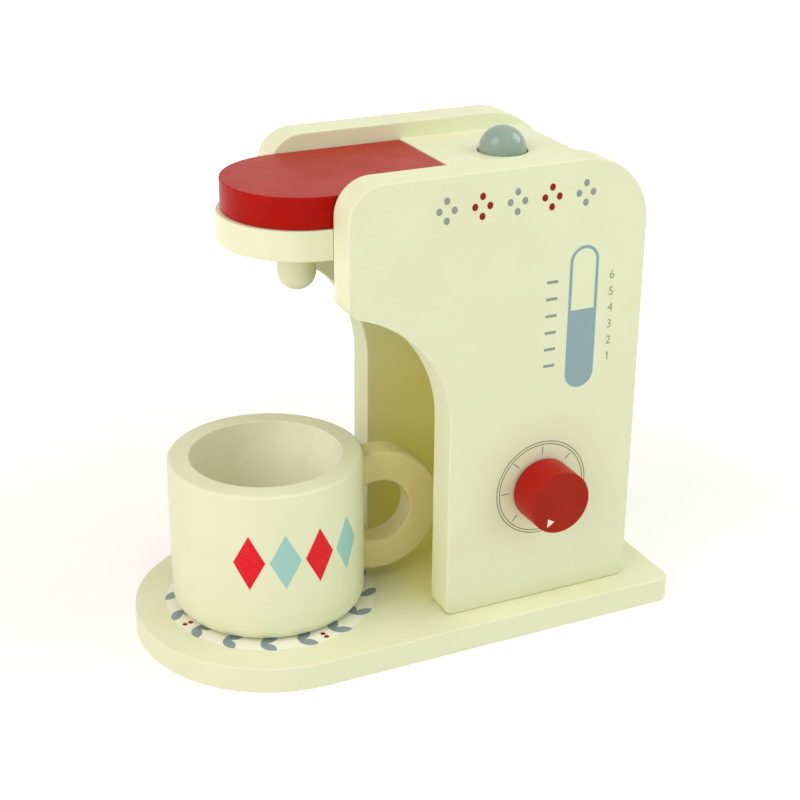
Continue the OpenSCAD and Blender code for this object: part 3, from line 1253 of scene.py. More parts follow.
# paler than the outer cream: partly a paler coat inside the cup, partly painted light that lifts
# the shaded hollow
CUP_INSIDE = Paint(
    name="cup inside paint",
    colour=screen(248, 249, 224),
    thin_colour=screen(240, 241, 214),
    edge_highlight_colour=screen(248, 248, 226),
    pore_cover=0.2,
    pore_colour=screen(176, 168, 134),
    pore_strength=0.3,
    pore_depth=0.05 * MM,
    ring_depth=0.06 * MM,
    roughness=0.55,
    edge_highlight_strength=0.15,
)
LID_COAT = {
    # painted highlight colour for the lid's rounded edges
    "edge_highlight_colour": screen(206, 92, 70),
    "pore_cover": 0.36,
    "pore_strength": 0.14,
    "streak_strength": 0.2,
    "streak_colour": screen(196, 34, 12),
    "edge_size": 0.5 * MM,
    "roughness": 0.4,
}
LID_RED = Paint(name="lid red paint", **LID_COAT, **{**RED_COLOURS, "gloss": 0.09})
# painted sheen: the lid's upward faces take a more orange, glossier copy of the red
LID_TOP_SHEEN_RED = Paint(
    name="lid top red paint with painted sheen",
    **LID_COAT,
    **{
        **RED_COLOURS,
        "colour": screen(165, 30, 14),
        "thin_colour": screen(160, 34, 12),
        "gloss": 0.16,
    },
)
KNOB_RED = Paint(
    name="knob red paint",
    # painted highlight colour for the knob's rounded edges
    edge_highlight_colour=screen(214, 96, 74),
    ring_depth=0.01 * MM,
    edge_highlight_strength=0.5,
    **RED_COLOURS,
)
# painted shade: the knob's flat face takes a darker copy of the red than its side
KNOB_FACE_SHADE_RED = Paint(
    name="knob face red paint with painted shade",
    edge_highlight_colour=screen(214, 96, 74),
    edge_highlight_strength=0.4,
    roughness=0.45,
    **{**RED_COLOURS, "colour": screen(160, 22, 12), "thin_colour": screen(152, 24, 12)},
)
GREY_BLUE = Paint(
    name="grey blue paint",
    colour=screen(140, 162, 148),
    thin_colour=screen(136, 158, 145),
    edge_highlight_colour=screen(150, 170, 160),
    pore_colour=screen(110, 130, 126),
    pore_cover=0.0,
    roughness=0.14,
    skin_depth=0.006 * MM,
    edge_highlight_strength=0.0,
    gloss=0.5,
)
GAUGE_INK = Ink("gauge ink", screen(140, 166, 171), screen(150, 174, 176), 0.1)
GREY_INK = Ink("grey blue ink", screen(142, 154, 140), screen(168, 182, 170), 0.1)
LEAF_INK = Ink("leaf ink", screen(138, 154, 156), screen(168, 182, 176), 0.1)
RED_INK = Ink("red ink", screen(140, 8, 10), screen(170, 40, 36), 0.06)
BERRY_INK = Ink("berry ink", screen(150, 16, 20), screen(190, 60, 60), 0.06)
BRIGHT_RED_INK = Ink("bright red ink", screen(222, 14, 32), screen(236, 96, 92), 0.32)
PALE_BLUE_INK = Ink("pale blue ink", screen(156, 202, 194), screen(186, 216, 204), 0.1)
FINE_GREY_INK = Ink("fine grey ink", screen(118, 120, 104), screen(160, 162, 140), 0.1)
NUMBER_INK = Ink("number ink", screen(148, 156, 126), screen(176, 182, 152), 0.1)
WHITE_INK = Ink("white ink", screen(246, 228, 218), screen(226, 196, 186), 0.1)
BAND_INK = Ink("pale band ink", screen(238, 239, 220), screen(232, 234, 208), 0.1)


def dress(piece: bpy.types.Object, material: bpy.types.Material) -> bpy.types.Object:
    """Gives a piece one material all over.

    Args:
        piece: The piece.
        material: The material.

    Returns:
        The piece.
    """
    piece.data.materials.clear()
    piece.data.materials.append(material)
    return piece


def dress_faces(
    piece: bpy.types.Object,
    material: bpy.types.Material,
    test: VectorTest,
) -> None:
    """Gives some faces of a piece a second material.

    Args:
        piece: The piece, dressed all over already.
        material: The material for the chosen faces.
        test: Says whether a face is chosen, by its centre and its normal.
    """
    piece.data.materials.append(material)
    last = len(piece.data.materials) - 1
    for face in piece.data.polygons:
        if test(face.center, face.normal):
            face.material_index = last


# ---------------------------------------------------------------- sub-assemblies


@dataclass
class Assembly:
    """Pieces that belong together, and take their finishes from the same shader groups."""

    effects: Effects

    def put(
        self,
        piece: bpy.types.Object,
        finish: Finish,
        grain: Grain | None,
        body: Body,
        slot: Slot,
        *nodes: str,
    ) -> None:
        """Dresses a finished piece all over, sets it on its body, and hides the nodes that it
        stands for.

        Args:
            piece: The piece, in its place.
            finish: The finish that it wears.
            grain: Which way its grain runs, where it has any.
            body: The body that it rides on.
            slot: The material slot that it takes its finish from. Not used.
            nodes: The nodes of the frame that it stands for.
        """
        dress(piece, finish.make(self.effects, grain))
        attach(piece, body.value)
        if nodes:
            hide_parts(*nodes)
        log.info("%s rides on %s, %d faces", piece.name, body.value, len(piece.data.polygons))

    def dress_nodes(self, finish: Finish, grain: Grain | None, *nodes: str) -> None:
        """Dresses nodes of the frame that stay as they are in one finish.

        Args:
            finish: The finish that they wear.
            grain: Which way their grain runs, where they have any.
            nodes: The nodes.
        """
        material = finish.make(self.effects, grain)
        for node in nodes:
            carried = frame["nodes"][node]
            if not carried.material_slots:
                carried.data.materials.append(material)
            for place in carried.material_slots:
                place.material = material
            log.info("%s stays, in %s", node, material.name)


@dataclass
class BaseBoard(Assembly):
    """The board that everything stands on, with the ring print under the cup."""

    corner: float = 4 * MM
    top_rim: float = 0.45 * MM
    bottom_rim: float = 0.3 * MM
    screw_inset: float = 12 * MM
    back_screw_inset: float = 13.5 * MM
    screw_head_radius: float = 3.8 * MM
    screw_shank_radius: float = 2.0 * MM
    countersink: float = 2.05 * MM
    tower_len: float = 71.5 * MM
    ring_back: float = 1.5 * MM
    ring_radius: float = 32.6 * MM
    ring_pairs: int = 16
    leaf_length: float = 7.0 * MM
    leaf_width: float = 3.7 * MM
    leaf_lean: float = 36.0
    leaf_spread: float = 2.2 * MM
    berry_radius: float = 0.9 * MM
    band_inner: float = 24.0 * MM
    band_outer: float = 36.6 * MM
    band_facets: int = 120

    def build(self) -> None:
        """Models the board and its print."""
        block = Block.of("base_board")
        self.model_board(block)
        nose_x = block.low.x + block.size.y / 2
        self.print_ring(Vector((nose_x - self.ring_back, 0, block.high.z)))
        self.dress_nodes(ZINC_STEEL, None, "base_screws")

    def model_board(self, block: Block) -> None:
        """Models the board, with its countersunk screw holes.

        Args:
            block: The box that the board fills.
        """
        half, corner = block.size.y / 2, self.corner
        nose_x, back_x = block.low.x + half, block.high.x
        outline = Sketch("base_board_painted", Sheet.plan(block.low.z), (nose_x, -half))
        outline.corner((back_x, -half), corner).corner((back_x, half), corner)
        outline.line_to((nose_x, half)).arc((nose_x, 0), 180)
        board = outline.pull(block.size.z)
        round_rim(board, Z_AXIS, self.top_rim)
        round_rim(board, -Z_AXIS, self.bottom_rim, segments=3)
        shank, head = self.screw_shank_radius, self.screw_head_radius + MM
        for place in self.screw_places():
            start = place - MM * Z_AXIS
            cut_away(
                board,
                drill_bit(start, Z_AXIS, shank, block.size.z + 2 * MM),
                drill_bit(start, Z_AXIS, head, self.countersink + MM, shank),
            )
        smooth(board)
        self.put(board, CREAM, Grain.ALONG_X, Body.FRAME, Slot.CREAM, "base_board")

    def screw_places(self) -> list[Vector]:
        """Works out where the screws enter the underside.

        Returns:
            The places, on the floor.
        """
        near, far = Block.of("dial_side_panel"), Block.of("plain_side_panel")
        back = Block.of("back_panel")
        front_x = near.high.x - self.tower_len + self.screw_inset
        back_x = near.high.x - self.screw_inset
        places = [Vector((x, side.middle.y, 0)) for x in (front_x, back_x) for side in (near, far)]
        reach = back.high.y - self.back_screw_inset
        return places + [Vector((back.middle.x, y, 0)) for y in (-reach, reach)]

    def print_ring(self, centre: Vector) -> None:
        """Prints a garland of leaf pairs and berries round the place of the cup.

        Args:
            centre: The middle of the ring, on the board's top.
        """
        band = Sketch("ring_band_print", Sheet.turning(Vector()), (self.band_inner, 0))
        band.line_to((self.band_outer, 0))
        middle = Matrix.Translation(centre)
        ground = thicken(settle(band.turn(self.band_facets), middle), INK / 2)
        self.put(ground, BAND_INK, None, Body.FRAME, Slot.CREAM)
        turns = [math.tau * i / self.ring_pairs for i in range(self.ring_pairs)]
        leaves = repeat(
            thicken(self.leaf()),
            (
                middle
                @ Matrix.Rotation(turn, 4, "Z")
                @ Matrix.Translation((self.ring_radius + side * self.leaf_spread, 0, 0))
                @ Matrix.Rotation(math.radians(90 - side * self.leaf_lean), 4, "Z")
                for turn in turns
                for side in (-1, 1)
            ),
        )
        self.put(leaves, LEAF_INK, None, Body.FRAME, Slot.GREY_BLUE)
        gap = turns[1] / 2
        berries = repeat(
            thicken(dot("ring_berries_print", Sheet.plan(0), self.berry_radius)),
            (
                middle
                @ Matrix.Rotation(turn + gap, 4, "Z")
                @ Matrix.Translation((self.ring_radius + shift, 0, 0))
                for turn in turns[::4]
                for shift in (0, self.leaf_spread)
            ),
        )
        self.put(berries, BERRY_INK, None, Body.FRAME, Slot.RED)

    def leaf(self) -> bpy.types.Object:
        """Draws one pointed leaf along X, about the frame's zero.

        Returns:
            The flat leaf.
        """
        half, bulge = self.leaf_length / 2, self.leaf_width / 2
        radius = (half**2 + bulge**2) / (2 * bulge)
        swing = 2 * math.degrees(math.asin(half / radius))
        outline = Sketch("ring_leaves_print", Sheet.plan(0), (-half, 0))
        outline.arc((0, bulge - radius), -swing).arc((0, radius - bulge), -swing)
        return outline.fill()


def dot(name: str, sheet: Sheet, radius: float, stretch: float = 1.0) -> bpy.types.Object:
    """Draws one round or slightly oval dot at a sheet's zero.

    Args:
        name: The piece's name.
        sheet: The sheet to draw on.
        radius: Its radius across the sheet.
        stretch: How much taller than wide it is.

    Returns:
        The flat dot.
    """
    piece = Sketch(name, sheet, (radius, 0)).arc((0, 0), 360).fill()
    piece.scale = Vector((1, 1, 1)) + (stretch - 1) * sheet.up
    return settle(piece, piece.matrix_basis.copy())


@dataclass
class SidePanels(Assembly):
    """The two side panels, and what is printed on the dial side."""

    tower_len: float = 71.5 * MM
    head_front_h: float = 42 * MM
    arch_r: float = 45 * MM
    top_front_r: float = 12 * MM
    top_back_r: float = 24 * MM
    low_front_r: float = 5 * MM
    foot_r: float = 2.5 * MM
    rim: float = 0.6 * MM
    axle_hole: float = 4.08 * MM

    def build(self) -> None:
        """Models both panels."""
        near = self.model_panel("dial_side_panel")
        block = Block.of("dial_side_panel")
        axle = Block.of("knob_axle").middle
        start = Vector((axle.x, block.low.y - MM, axle.z))
        cut_away(near, drill_bit(start, Y_AXIS, self.axle_hole, block.size.y + 2 * MM))
        far = self.model_panel("plain_side_panel")
        for panel, node in ((near, "dial_side_panel"), (far, "plain_side_panel")):
            smooth(panel)
            self.put(panel, CREAM, Grain.UPRIGHT, Body.FRAME, Slot.CREAM, node)

    def model_panel(self, node: str) -> bpy.types.Object:
        """Models one panel, with its arch and its rounded edges.

        Args:
            node: The node of the frame that it stands for.

        Returns:
            The panel.
        """
        block = Block.of(node)
        head_x, back_x, top = block.low.x, block.high.x, block.high.z
        front_x = back_x - self.tower_len
        arch_x = front_x - self.arch_r
        meet = top - self.head_front_h
        arch_z = meet - math.sqrt(self.arch_r**2 - (head_x - arch_x) ** 2)
        nose_x = head_x + self.low_front_r
        reach = self.arch_r + self.low_front_r
        sweep = math.degrees(math.acos((nose_x - arch_x) / reach))
        nose_z = arch_z + reach * math.sin(math.radians(sweep))
        foot, foot_r = block.low.z, self.foot_r
        start = (back_x - foot_r, foot)
        outline = Sketch(node + "_painted", Sheet.side(block.high.y), start)
        outline.corner((front_x, foot), foot_r, -1).line_to((front_x, arch_z))
        outline.arc((arch_x, arch_z), sweep).arc((nose_x, nose_z), -sweep)
        outline.corner((head_x, top), self.top_front_r, -1)
        outline.corner((back_x, top), self.top_back_r, -1)
        outline.corner((back_x, foot), foot_r, -1)
        panel = outline.pull(block.size.y)
        for side in (-1, 1):
            round_rim(panel, Vector((0, side, 0)), self.rim)
        return panel


@dataclass
class PanelPrints(Assembly):
    """The flower row, the gauge and the dial, printed on the dial side."""

    flower_x: tuple[float, ...] = (2.65 * MM, 15.15 * MM, 27.7 * MM, 40.25 * MM, 52.8 * MM)
    flower_drop: float = 11.1 * MM
    petal: float = 1.05 * MM
    petal_stretch: float = 1.15
    petal_out: float = 2.65 * MM
    petal_up: float = 3.25 * MM
    gauge_x: float = 53.65 * MM
    gauge_low: float = 86.8 * MM
    gauge_high: float = 137.0 * MM
    gauge_half: float = 5.45 * MM
    gauge_line: float = 1.05 * MM
    gauge_level: float = 114.8 * MM
    mark_low: float = 96.45 * MM
    mark_step: float = 5.9 * MM
    number_low: float = 96.2 * MM
    number_step: float = 5.83 * MM
    marks: int = 6
    tick_x: float = 41.8 * MM
    tick_len: float = 4.2 * MM
    tick_t: float = 1.0 * MM
    number_x: float = 64.5 * MM
    number_h: float = 3.0 * MM
    number_share: float = 0.7
    flag_len: float = 0.9 * MM
    flag_t: float = 0.34 * MM
    flag_lean: float = 38.0
    flag_place: Vector = Vector((-0.35 * MM, 0, 1.15 * MM))
    dial_rings: tuple[float, float] = (17.2 * MM, 16.2 * MM)
    dial_line: float = 0.3 * MM
    dial_tick_from: float = 12.6 * MM
    dial_tick_to: float = 15.5 * MM
    dial_ticks: int = 8
    dial_facets: int = 144

    def build(self) -> None:
        """Prints everything on the panel's outer face."""
        block = Block.of("dial_side_panel")
        self.face = block.low.y
        self.top = block.high.z
        self.print_flowers()
        self.print_gauge()
        self.print_numbers()
        self.print_dial()

    def on_face(self, x: float, z: float) -> Matrix:
        """The place of something drawn about zero, on the panel's outer face."""
        return Matrix.Translation((x, self.face, z))

    def print_flowers(self) -> None:
        """Prints the row of four-petal flowers, every second one in red."""
        out, up = self.petal_out, self.petal_up
        petals = [(out, 0), (-out, 0), (0, up), (0, -up)]
        z = self.top - self.flower_drop
        inks = (
            ("grey_flowers_print", self.flower_x[::2], GREY_INK, Slot.GREY_BLUE),
            ("red_flowers_print", self.flower_x[1::2], RED_INK, Slot.RED),
        )
        for name, centres, ink, slot in inks:
            petal = thicken(dot(name, Sheet.side(0), self.petal, self.petal_stretch))
            places = (self.on_face(x + dx, z + dz) for x in centres for dx, dz in petals)
            self.put(repeat(petal, places), ink, None, Body.FRAME, slot)

    def print_gauge(self) -> None:
        """Prints the tube of the gauge, filled up to its level, and the ticks beside it."""
        half, sheet = self.gauge_half, Sheet.side(self.face)
        low, high = self.gauge_low + half, self.gauge_high - half
        outline = Sketch("gauge_tube_print", sheet, (self.gauge_x + half, low))
        outline.line_to((self.gauge_x + half, high)).arc((self.gauge_x, high), 180)
        outline.line_to((self.gauge_x - half, low)).arc((self.gauge_x, low), 180)
        tube = outline.fill()
        with editing(tube, "FACE"):
            bpy.ops.mesh.select_all(action="SELECT")
            bpy.ops.mesh.inset(thickness=self.gauge_line)
            bpy.ops.mesh.bisect(
                plane_co=sheet.at((0, self.gauge_level)),
                plane_no=sheet.up,
                threshold=ON_PLANE,
            )
        with editing(tube, "FACE") as mesh:
            inner = [f for f in mesh.faces if f.calc_center_median().z > self.gauge_level]
            max(inner, key=lambda f: f.calc_area()).select_set(True)
            bpy.ops.mesh.delete(type="FACE")
        self.put(thicken(tube), GAUGE_INK, None, Body.FRAME, Slot.GREY_BLUE)
        tick = thicken(self.bar("gauge_ticks_print", self.tick_len, self.tick_t))
        heights = (self.mark_low + i * self.mark_step for i in range(self.marks))
        places = (self.on_face(self.tick_x, height) for height in heights)
        self.put(repeat(tick, places), GREY_INK, None, Body.FRAME, Slot.GREY_BLUE)

    def bar(self, name: str, length: float, height: float) -> bpy.types.Object:
        """Draws one small bar about the frame's zero, on an upright sheet."""
        x, z = length / 2, height / 2
        return rectangle(name, Sheet.side(0), (-x, -z), (x, z)).fill()

    def print_numbers(self) -> None:
        """Prints the plain numbers 1 to 6 beside the gauge."""
        digits = []
        for i in range(self.marks):
            deselect_all()
            bpy.ops.object.text_add()
            digit = bpy.context.object
            digit.data.body = str(i + 1)
            digit.data.align_x = digit.data.align_y = "CENTER"
            digit.data.size = self.number_h / self.number_share
            bpy.ops.object.convert(target="MESH")
            digit = bpy.context.object
            place = self.on_face(self.number_x, self.number_low + i * self.number_step)
            settle(digit, place @ Matrix.Rotation(math.pi / 2, 4, "X"))
            digits.append(digit)
        flag = self.bar("flag", self.flag_len, self.flag_t)
        at_one = Vector((self.number_x, self.face, self.number_low)) + self.flag_place
        lean = Matrix.Rotation(-math.radians(self.flag_lean), 4, "Y")
        digits.append(settle(flag, Matrix.Translation(at_one) @ lean))
        numbers = thicken(join("gauge_numbers_print", *digits))
        self.put(numbers, NUMBER_INK, None, Body.FRAME, Slot.GREY_BLUE)

    def print_dial(self) -> None:
        """Prints the two fine rings and the ticks round the knob."""
        centre = Block.of("knob").middle
        spin = Sheet.turning(Vector(), -Y_AXIS)
        rings = []
        for radius in self.dial_rings:
            line = Sketch("dial_ring", spin, (radius - self.dial_line / 2, 0))
            line.line_to((radius + self.dial_line / 2, 0))
            rings.append(settle(line.turn(self.dial_facets), self.on_face(centre.x, centre.z)))
        tick = self.bar("dial_print", self.dial_tick_to - self.dial_tick_from, self.dial_line)
        middle = (self.dial_tick_to + self.dial_tick_from) / 2
        ticks = repeat(
            tick,
            (
                self.on_face(centre.x, centre.z)
                @ Matrix.Rotation(math.tau * i / self.dial_ticks, 4, "Y")
                @ Matrix.Translation((middle, 0, 0))
                for i in range(self.dial_ticks)
            ),
        )
        dial = thicken(join("dial_print", ticks, *rings))
        self.put(dial, FINE_GREY_INK, None, Body.FRAME, Slot.GREY_BLUE)


@dataclass
class Head(Assembly):
    """The shelf, the top board and the back panel between the sides."""

    shelf_top_rim: float = 0.5 * MM
    shelf_bottom_rim: float = 0.6 * MM
    board_rim: float = 0.5 * MM
    well_radius: float = 20 * MM
    well_depth: float = 3.5 * MM
    swing_gap: float = 0.3 * MM
    seat_radius: float = 5.1 * MM
    seat_depth: float = 5 * MM
    button_gap: float = 0.5 * MM
    button_radius: float = 8.2 * MM
    stop_drop: float = 4.7 * MM
    lip: float = 0.15 * MM

    def build(self) -> None:
        """Models the three boards, and dresses the dowels that hold them."""
        self.model_shelf()
        self.model_top_board()
        self.model_back_panel()
        dowels = ("shelf_dowels", "top_board_dowels", "back_panel_dowels")
        self.dress_nodes(BARE_WOOD, Grain.ALONG_Y, *dowels)

    def model_shelf(self) -> None:
        """Models the shelf, with the pad well and the groove that the lid's end swings in."""
        block, lid = Block.of("brew_shelf"), Block.of("lid")
        half = block.size.y / 2
        nose_x = block.low.x + half
        sheet = Sheet.plan(block.low.z)
        outline = round_nosed("brew_shelf_painted", sheet, nose_x, block.high.x, half)
        shelf = outline.pull(block.size.z)

        def on_nose(start: Vector, end: Vector) -> bool:
            """Says whether an edge belongs to the round nose."""
            return max(start.x, end.x) < nose_x + SAME_POINT

        round_rim(shelf, Z_AXIS, self.shelf_top_rim, on_nose)
        round_rim(shelf, -Z_AXIS, self.shelf_bottom_rim, on_nose)
        hinge = hinge_line()
        groove = lid.high.x - hinge.x + self.swing_gap
        well = Vector((nose_x, 0, block.high.z + MM))
        seat = Vector((Block.of("button_cap").middle.x, 0, well.z))
        side = Vector((hinge.x, -half - MM, hinge.z))
        cut_away(
            shelf,
            drill_bit(well, -Z_AXIS, self.well_radius, self.well_depth + MM),
            drill_bit(seat, -Z_AXIS, self.seat_radius, self.seat_depth + MM),
            drill_bit(side, Y_AXIS, groove, 2 * (half + MM)),
        )
        smooth(shelf)
        self.put(shelf, CREAM, Grain.ALONG_X, Body.FRAME, Slot.CREAM, "brew_shelf")

    def model_top_board(self) -> None:
        """Models the top board, with the stepped hole of the button."""
        block = Block.of("top_board")
        low, high = block.low, block.high
        outline = rectangle("top_board_painted", Sheet.plan(low.z), low.xy, high.xy)
        board = outline.pull(block.size.z)

        def across(start: Vector, end: Vector) -> bool:
            """Says whether an edge runs from side to side."""
            return abs(start.x - end.x) < SAME_POINT

        round_rim(board, Z_AXIS, self.board_rim, across)
        cap = Block.of("button_cap")
        foot = Vector((cap.middle.x, 0, block.low.z - MM))
        hole = self.button_radius + self.button_gap
        step = cap.size.x / 2 + self.button_gap
        depth = block.size.z - self.stop_drop + MM
        cut_away(
            board,
            drill_bit(foot, Z_AXIS, hole, block.size.z + 2 * MM),
            drill_bit(foot, Z_AXIS, step, depth),
        )
        on_axis = Vector((cap.middle.x, 0, block.high.z))

        def round_hole(start: Vector, end: Vector) -> bool:
            """Says whether an edge belongs to the button's hole."""
            return max((v - on_axis).length for v in (start, end)) < hole + self.lip

        round_rim(board, Z_AXIS, self.lip, round_hole, segments=3)
        smooth(board)
        self.put(board, CREAM, Grain.ALONG_X, Body.FRAME, Slot.CREAM, "top_board")

    def model_back_panel(self) -> None:
        """Models the plain board that closes the tower's back."""
        block = Block.of("back_panel")
        sheet = Sheet(block.low.x * X_AXIS, Y_AXIS, Z_AXIS)
        outline = rectangle("back_panel_painted", sheet, block.low.yz, block.high.yz)
        panel = outline.pull(block.size.x)
        round_rim(panel, X_AXIS, self.board_rim)
        smooth(panel)
        self.put(panel, CREAM, Grain.UPRIGHT, Body.FRAME, Slot.CREAM, "back_panel")


@dataclass
class Lid(Assembly):
    """The red lid, with its rounded back end and its two hinge pins."""

    top_rim: float = 0.4 * MM
    bottom_rim: float = 0.25 * MM
    planing_step: float = 5.0
    pin_hole: float = 1.4 * MM
    pin_depth: float = 10.5 * MM

    def build(self) -> None:
        """Models the lid."""
        block, hinge = Block.of("lid"), hinge_line()
        half = block.size.y / 2
        nose_x = block.low.x + half
        end_radius = block.high.x - hinge.x
        sheet = Sheet.plan(block.low.z)
        outline = round_nosed("lid_painted", sheet, nose_x, block.high.x + MM, half)
        lid = outline.pull(block.size.z)
        steepest = math.degrees(math.asin((block.high.z - hinge.z) / end_radius))
        lowest = math.degrees(math.asin((block.low.z - hinge.z) / end_radius))
        cuts = math.ceil((steepest - lowest) / self.planing_step)
        for i in range(cuts + 1):
            angle = math.radians(steepest + (lowest - steepest) * i / cuts)
            outward = Vector((math.cos(angle), 0, math.sin(angle)))
            plane_off(lid, hinge + end_radius * outward, outward)
        round_rim(lid, Z_AXIS, self.top_rim, segments=3)
        round_rim(lid, -Z_AXIS, self.bottom_rim, segments=3)
        for side in (-1, 1):
            start = Vector((hinge.x, side * (half + MM), hinge.z))
            inward = Vector((0, -side, 0))
            cut_away(lid, drill_bit(start, inward, self.pin_hole, self.pin_depth + MM))
        smooth(lid)
        self.put(lid, LID_RED, Grain.ALONG_X, Body.LID, Slot.RED, "lid")
        # painted sheen on the lid's top faces
        top = LID_TOP_SHEEN_RED.make(self.effects, Grain.ALONG_X)
        dress_faces(lid, top, lambda centre, normal: normal.z > FLAT)
        self.dress_nodes(ZINC_STEEL, None, "lid_hinge_pins")


@dataclass
class Spout(Assembly):
    """The dowel-like spout under the shelf."""

    radius: float = 6.5 * MM
    tenon_radius: float = 4 * MM
    shoulder: float = 0.3 * MM
    facets: int = 64

    def build(self) -> None:
        """Models the spout, from its round tip up to its tenon."""
        block = Block.of("spout")
        top = Block.of("brew_shelf").low.z - block.low.z
        profile = Sketch("spout_painted", Sheet.turning(block.foot), (0, 0))
        profile.arc((0, self.radius), 90).corner((self.radius, top), self.shoulder)
        profile.line_to((self.tenon_radius, top), (self.tenon_radius, block.size.z))
        profile.line_to((0, block.size.z))
        spout = smooth(profile.turn(self.facets))
        self.put(spout, CUP_CREAM, Grain.UPRIGHT, Body.FRAME, Slot.CREAM, "spout")


@dataclass
class Button(Assembly):
    """The domed push button with its flange, on its spring."""

    radius: float = 8.2 * MM
    flange: float = 2.4 * MM
    bore: float = 5.1 * MM
    roof: float = 2.0 * MM
    edge: float = 0.25 * MM
    facets: int = 96
    travel: float = 3 * MM
    wire: float = 0.4 * MM
    wire_sides: int = 12
    turns: int = 5
    turn_steps: int = 36
    wire_shading: float = 60.0

    def build(self) -> None:
        """Models the button and its spring."""
        self.model_cap()
        self.model_spring()

    def model_spring(self) -> None:
        """Winds the spring, which is squeezed between the shelf and the button."""
        block = Block.of("button_spring")
        reach = block.size.x / 2 - self.wire
        ring = [
            (reach + self.wire * math.cos(turn), self.wire * math.sin(turn))
            for turn in (math.tau * side / self.wire_sides for side in range(self.wire_sides))
        ]
        outline = Sketch("button_spring_wire", Sheet.turning(Vector()), ring[0])
        spring = outline.line_to(*ring[1:]).fill()
        apply_modifier(
            spring,
            "SCREW",
            steps=self.turn_steps,
            render_steps=self.turn_steps,
            iterations=self.turns,
            screw_offset=(block.size.z - 2 * self.wire) / self.turns,
        )
        with editing(spring, "VERT"):
            bpy.ops.mesh.select_all(action="SELECT")
            bpy.ops.mesh.fill_holes(sides=0)
            bpy.ops.mesh.select_all(action="SELECT")
            bpy.ops.mesh.normals_make_consistent(inside=False)
            bpy.ops.transform.translate(value=block.foot + self.wire * Z_AXIS)
        smooth(spring, self.wire_shading)
        self.put(spring, ZINC_STEEL, None, Body.FRAME, Slot.STEEL, "button_spring")
        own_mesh(spring)

    def model_cap(self) -> None:
        """Turns the domed cap with its flange and the bore that the spring stands in."""
        block = Block.of("button_cap")
        height = block.size.z
        board_top = Block.of("top_board").high.z - block.low.z
        wide, roof_z, dome_z = block.size.x / 2, board_top - self.roof, height - self.radius
        profile = Sketch("button_painted", Sheet.turning(block.foot), (0, roof_z))
        profile.line_to((self.bore, roof_z), (self.bore, 0))
        profile.corner((wide, 0), self.edge).corner((wide, self.flange), self.edge)
        profile.line_to((self.radius, self.flange), (self.radius, dome_z)).arc((0, dome_z), 90)
        cap = smooth(profile.turn(self.facets))
        self.put(cap, GREY_BLUE, Grain.UPRIGHT, Body.BUTTON, Slot.GREY_BLUE, "button_cap")


@dataclass
class Knob(Assembly):
    """The red knob with its pointer, its axle, its washer and its retaining disc."""

    front_edge: float = 0.5 * MM
    back_edge: float = 0.4 * MM
    axle_radius: float = 4.02 * MM
    axle_in_knob: float = 8.62 * MM
    disc_edge: float = 0.5 * MM
    pointer_turn: float = -120.0
    pointer_foot: float = 6.75 * MM
    pointer_tip: float = 9.65 * MM
    pointer_half: float = 1.45 * MM
    facets: int = 96
    disc_facets: int = 72

    def build(self) -> None:
        """Models the knob and what turns with it."""
        self.model_knob()
        self.model_disc()
        self.print_pointer()
        self.dress_nodes(BARE_WOOD, Grain.ALONG_Y, "knob_axle")
        self.dress_nodes(WOOL_FELT, None, "knob_washer")

    def model_knob(self) -> None:
        """Models the knob, with the blind hole that the axle sits in."""
        block = Block.of("knob")
        radius, length = block.size.x / 2, block.size.y - INK / 2
        sheet = Sheet.turning(block.back, -Y_AXIS)
        profile = Sketch("knob_painted", sheet, (0, self.axle_in_knob))
        profile.line_to((self.axle_radius, self.axle_in_knob), (self.axle_radius, 0))
        profile.corner((radius, 0), self.back_edge).corner((radius, length), self.front_edge)
        profile.line_to((0, length))
        knob = smooth(profile.turn(self.facets))
        self.put(knob, KNOB_RED, Grain.ALONG_Y, Body.KNOB, Slot.RED, "knob")
        # painted shade on the knob's flat face
        face = KNOB_FACE_SHADE_RED.make(self.effects, Grain.ALONG_Y)
        dress_faces(knob, face, lambda centre, normal: normal.y < -FLAT)

    def model_disc(self) -> None:
        """Models the disc that keeps the axle in the panel."""
        block = Block.of("knob_retaining_disc")
        radius, length, edge = block.size.x / 2, block.size.y, self.disc_edge
        sheet = Sheet.turning(block.back, -Y_AXIS)
        profile = Sketch("knob_retaining_disc_sanded", sheet, (self.axle_radius, length))
        profile.line_to((self.axle_radius, 0))
        profile.corner((radius, 0), edge).corner((radius, length), edge)
        profile.line_to((self.axle_radius, length))
        disc = smooth(profile.turn(self.disc_facets))
        self.put(disc, BARE_WOOD, Grain.ALONG_X, Body.KNOB, Slot.WOOD, "knob_retaining_disc")

    def print_pointer(self) -> None:
        """Prints the small white arrowhead on the knob's face."""
        block = Block.of("knob")
        foot, half = self.pointer_foot, self.pointer_half
        outline = Sketch("knob_pointer_print", Sheet.side(0), (foot, -half))
        outline.line_to((self.pointer_tip, 0), (foot, half))
        pointer = thicken(outline.fill())
        turn = Matrix.Rotation(-math.radians(self.pointer_turn), 4, "Y")
        face = Vector((block.middle.x, block.low.y + INK / 2, block.middle.z))
        settle(pointer, Matrix.Translation(face) @ turn)
        self.put(pointer, WHITE_INK, None, Body.KNOB, Slot.CREAM)


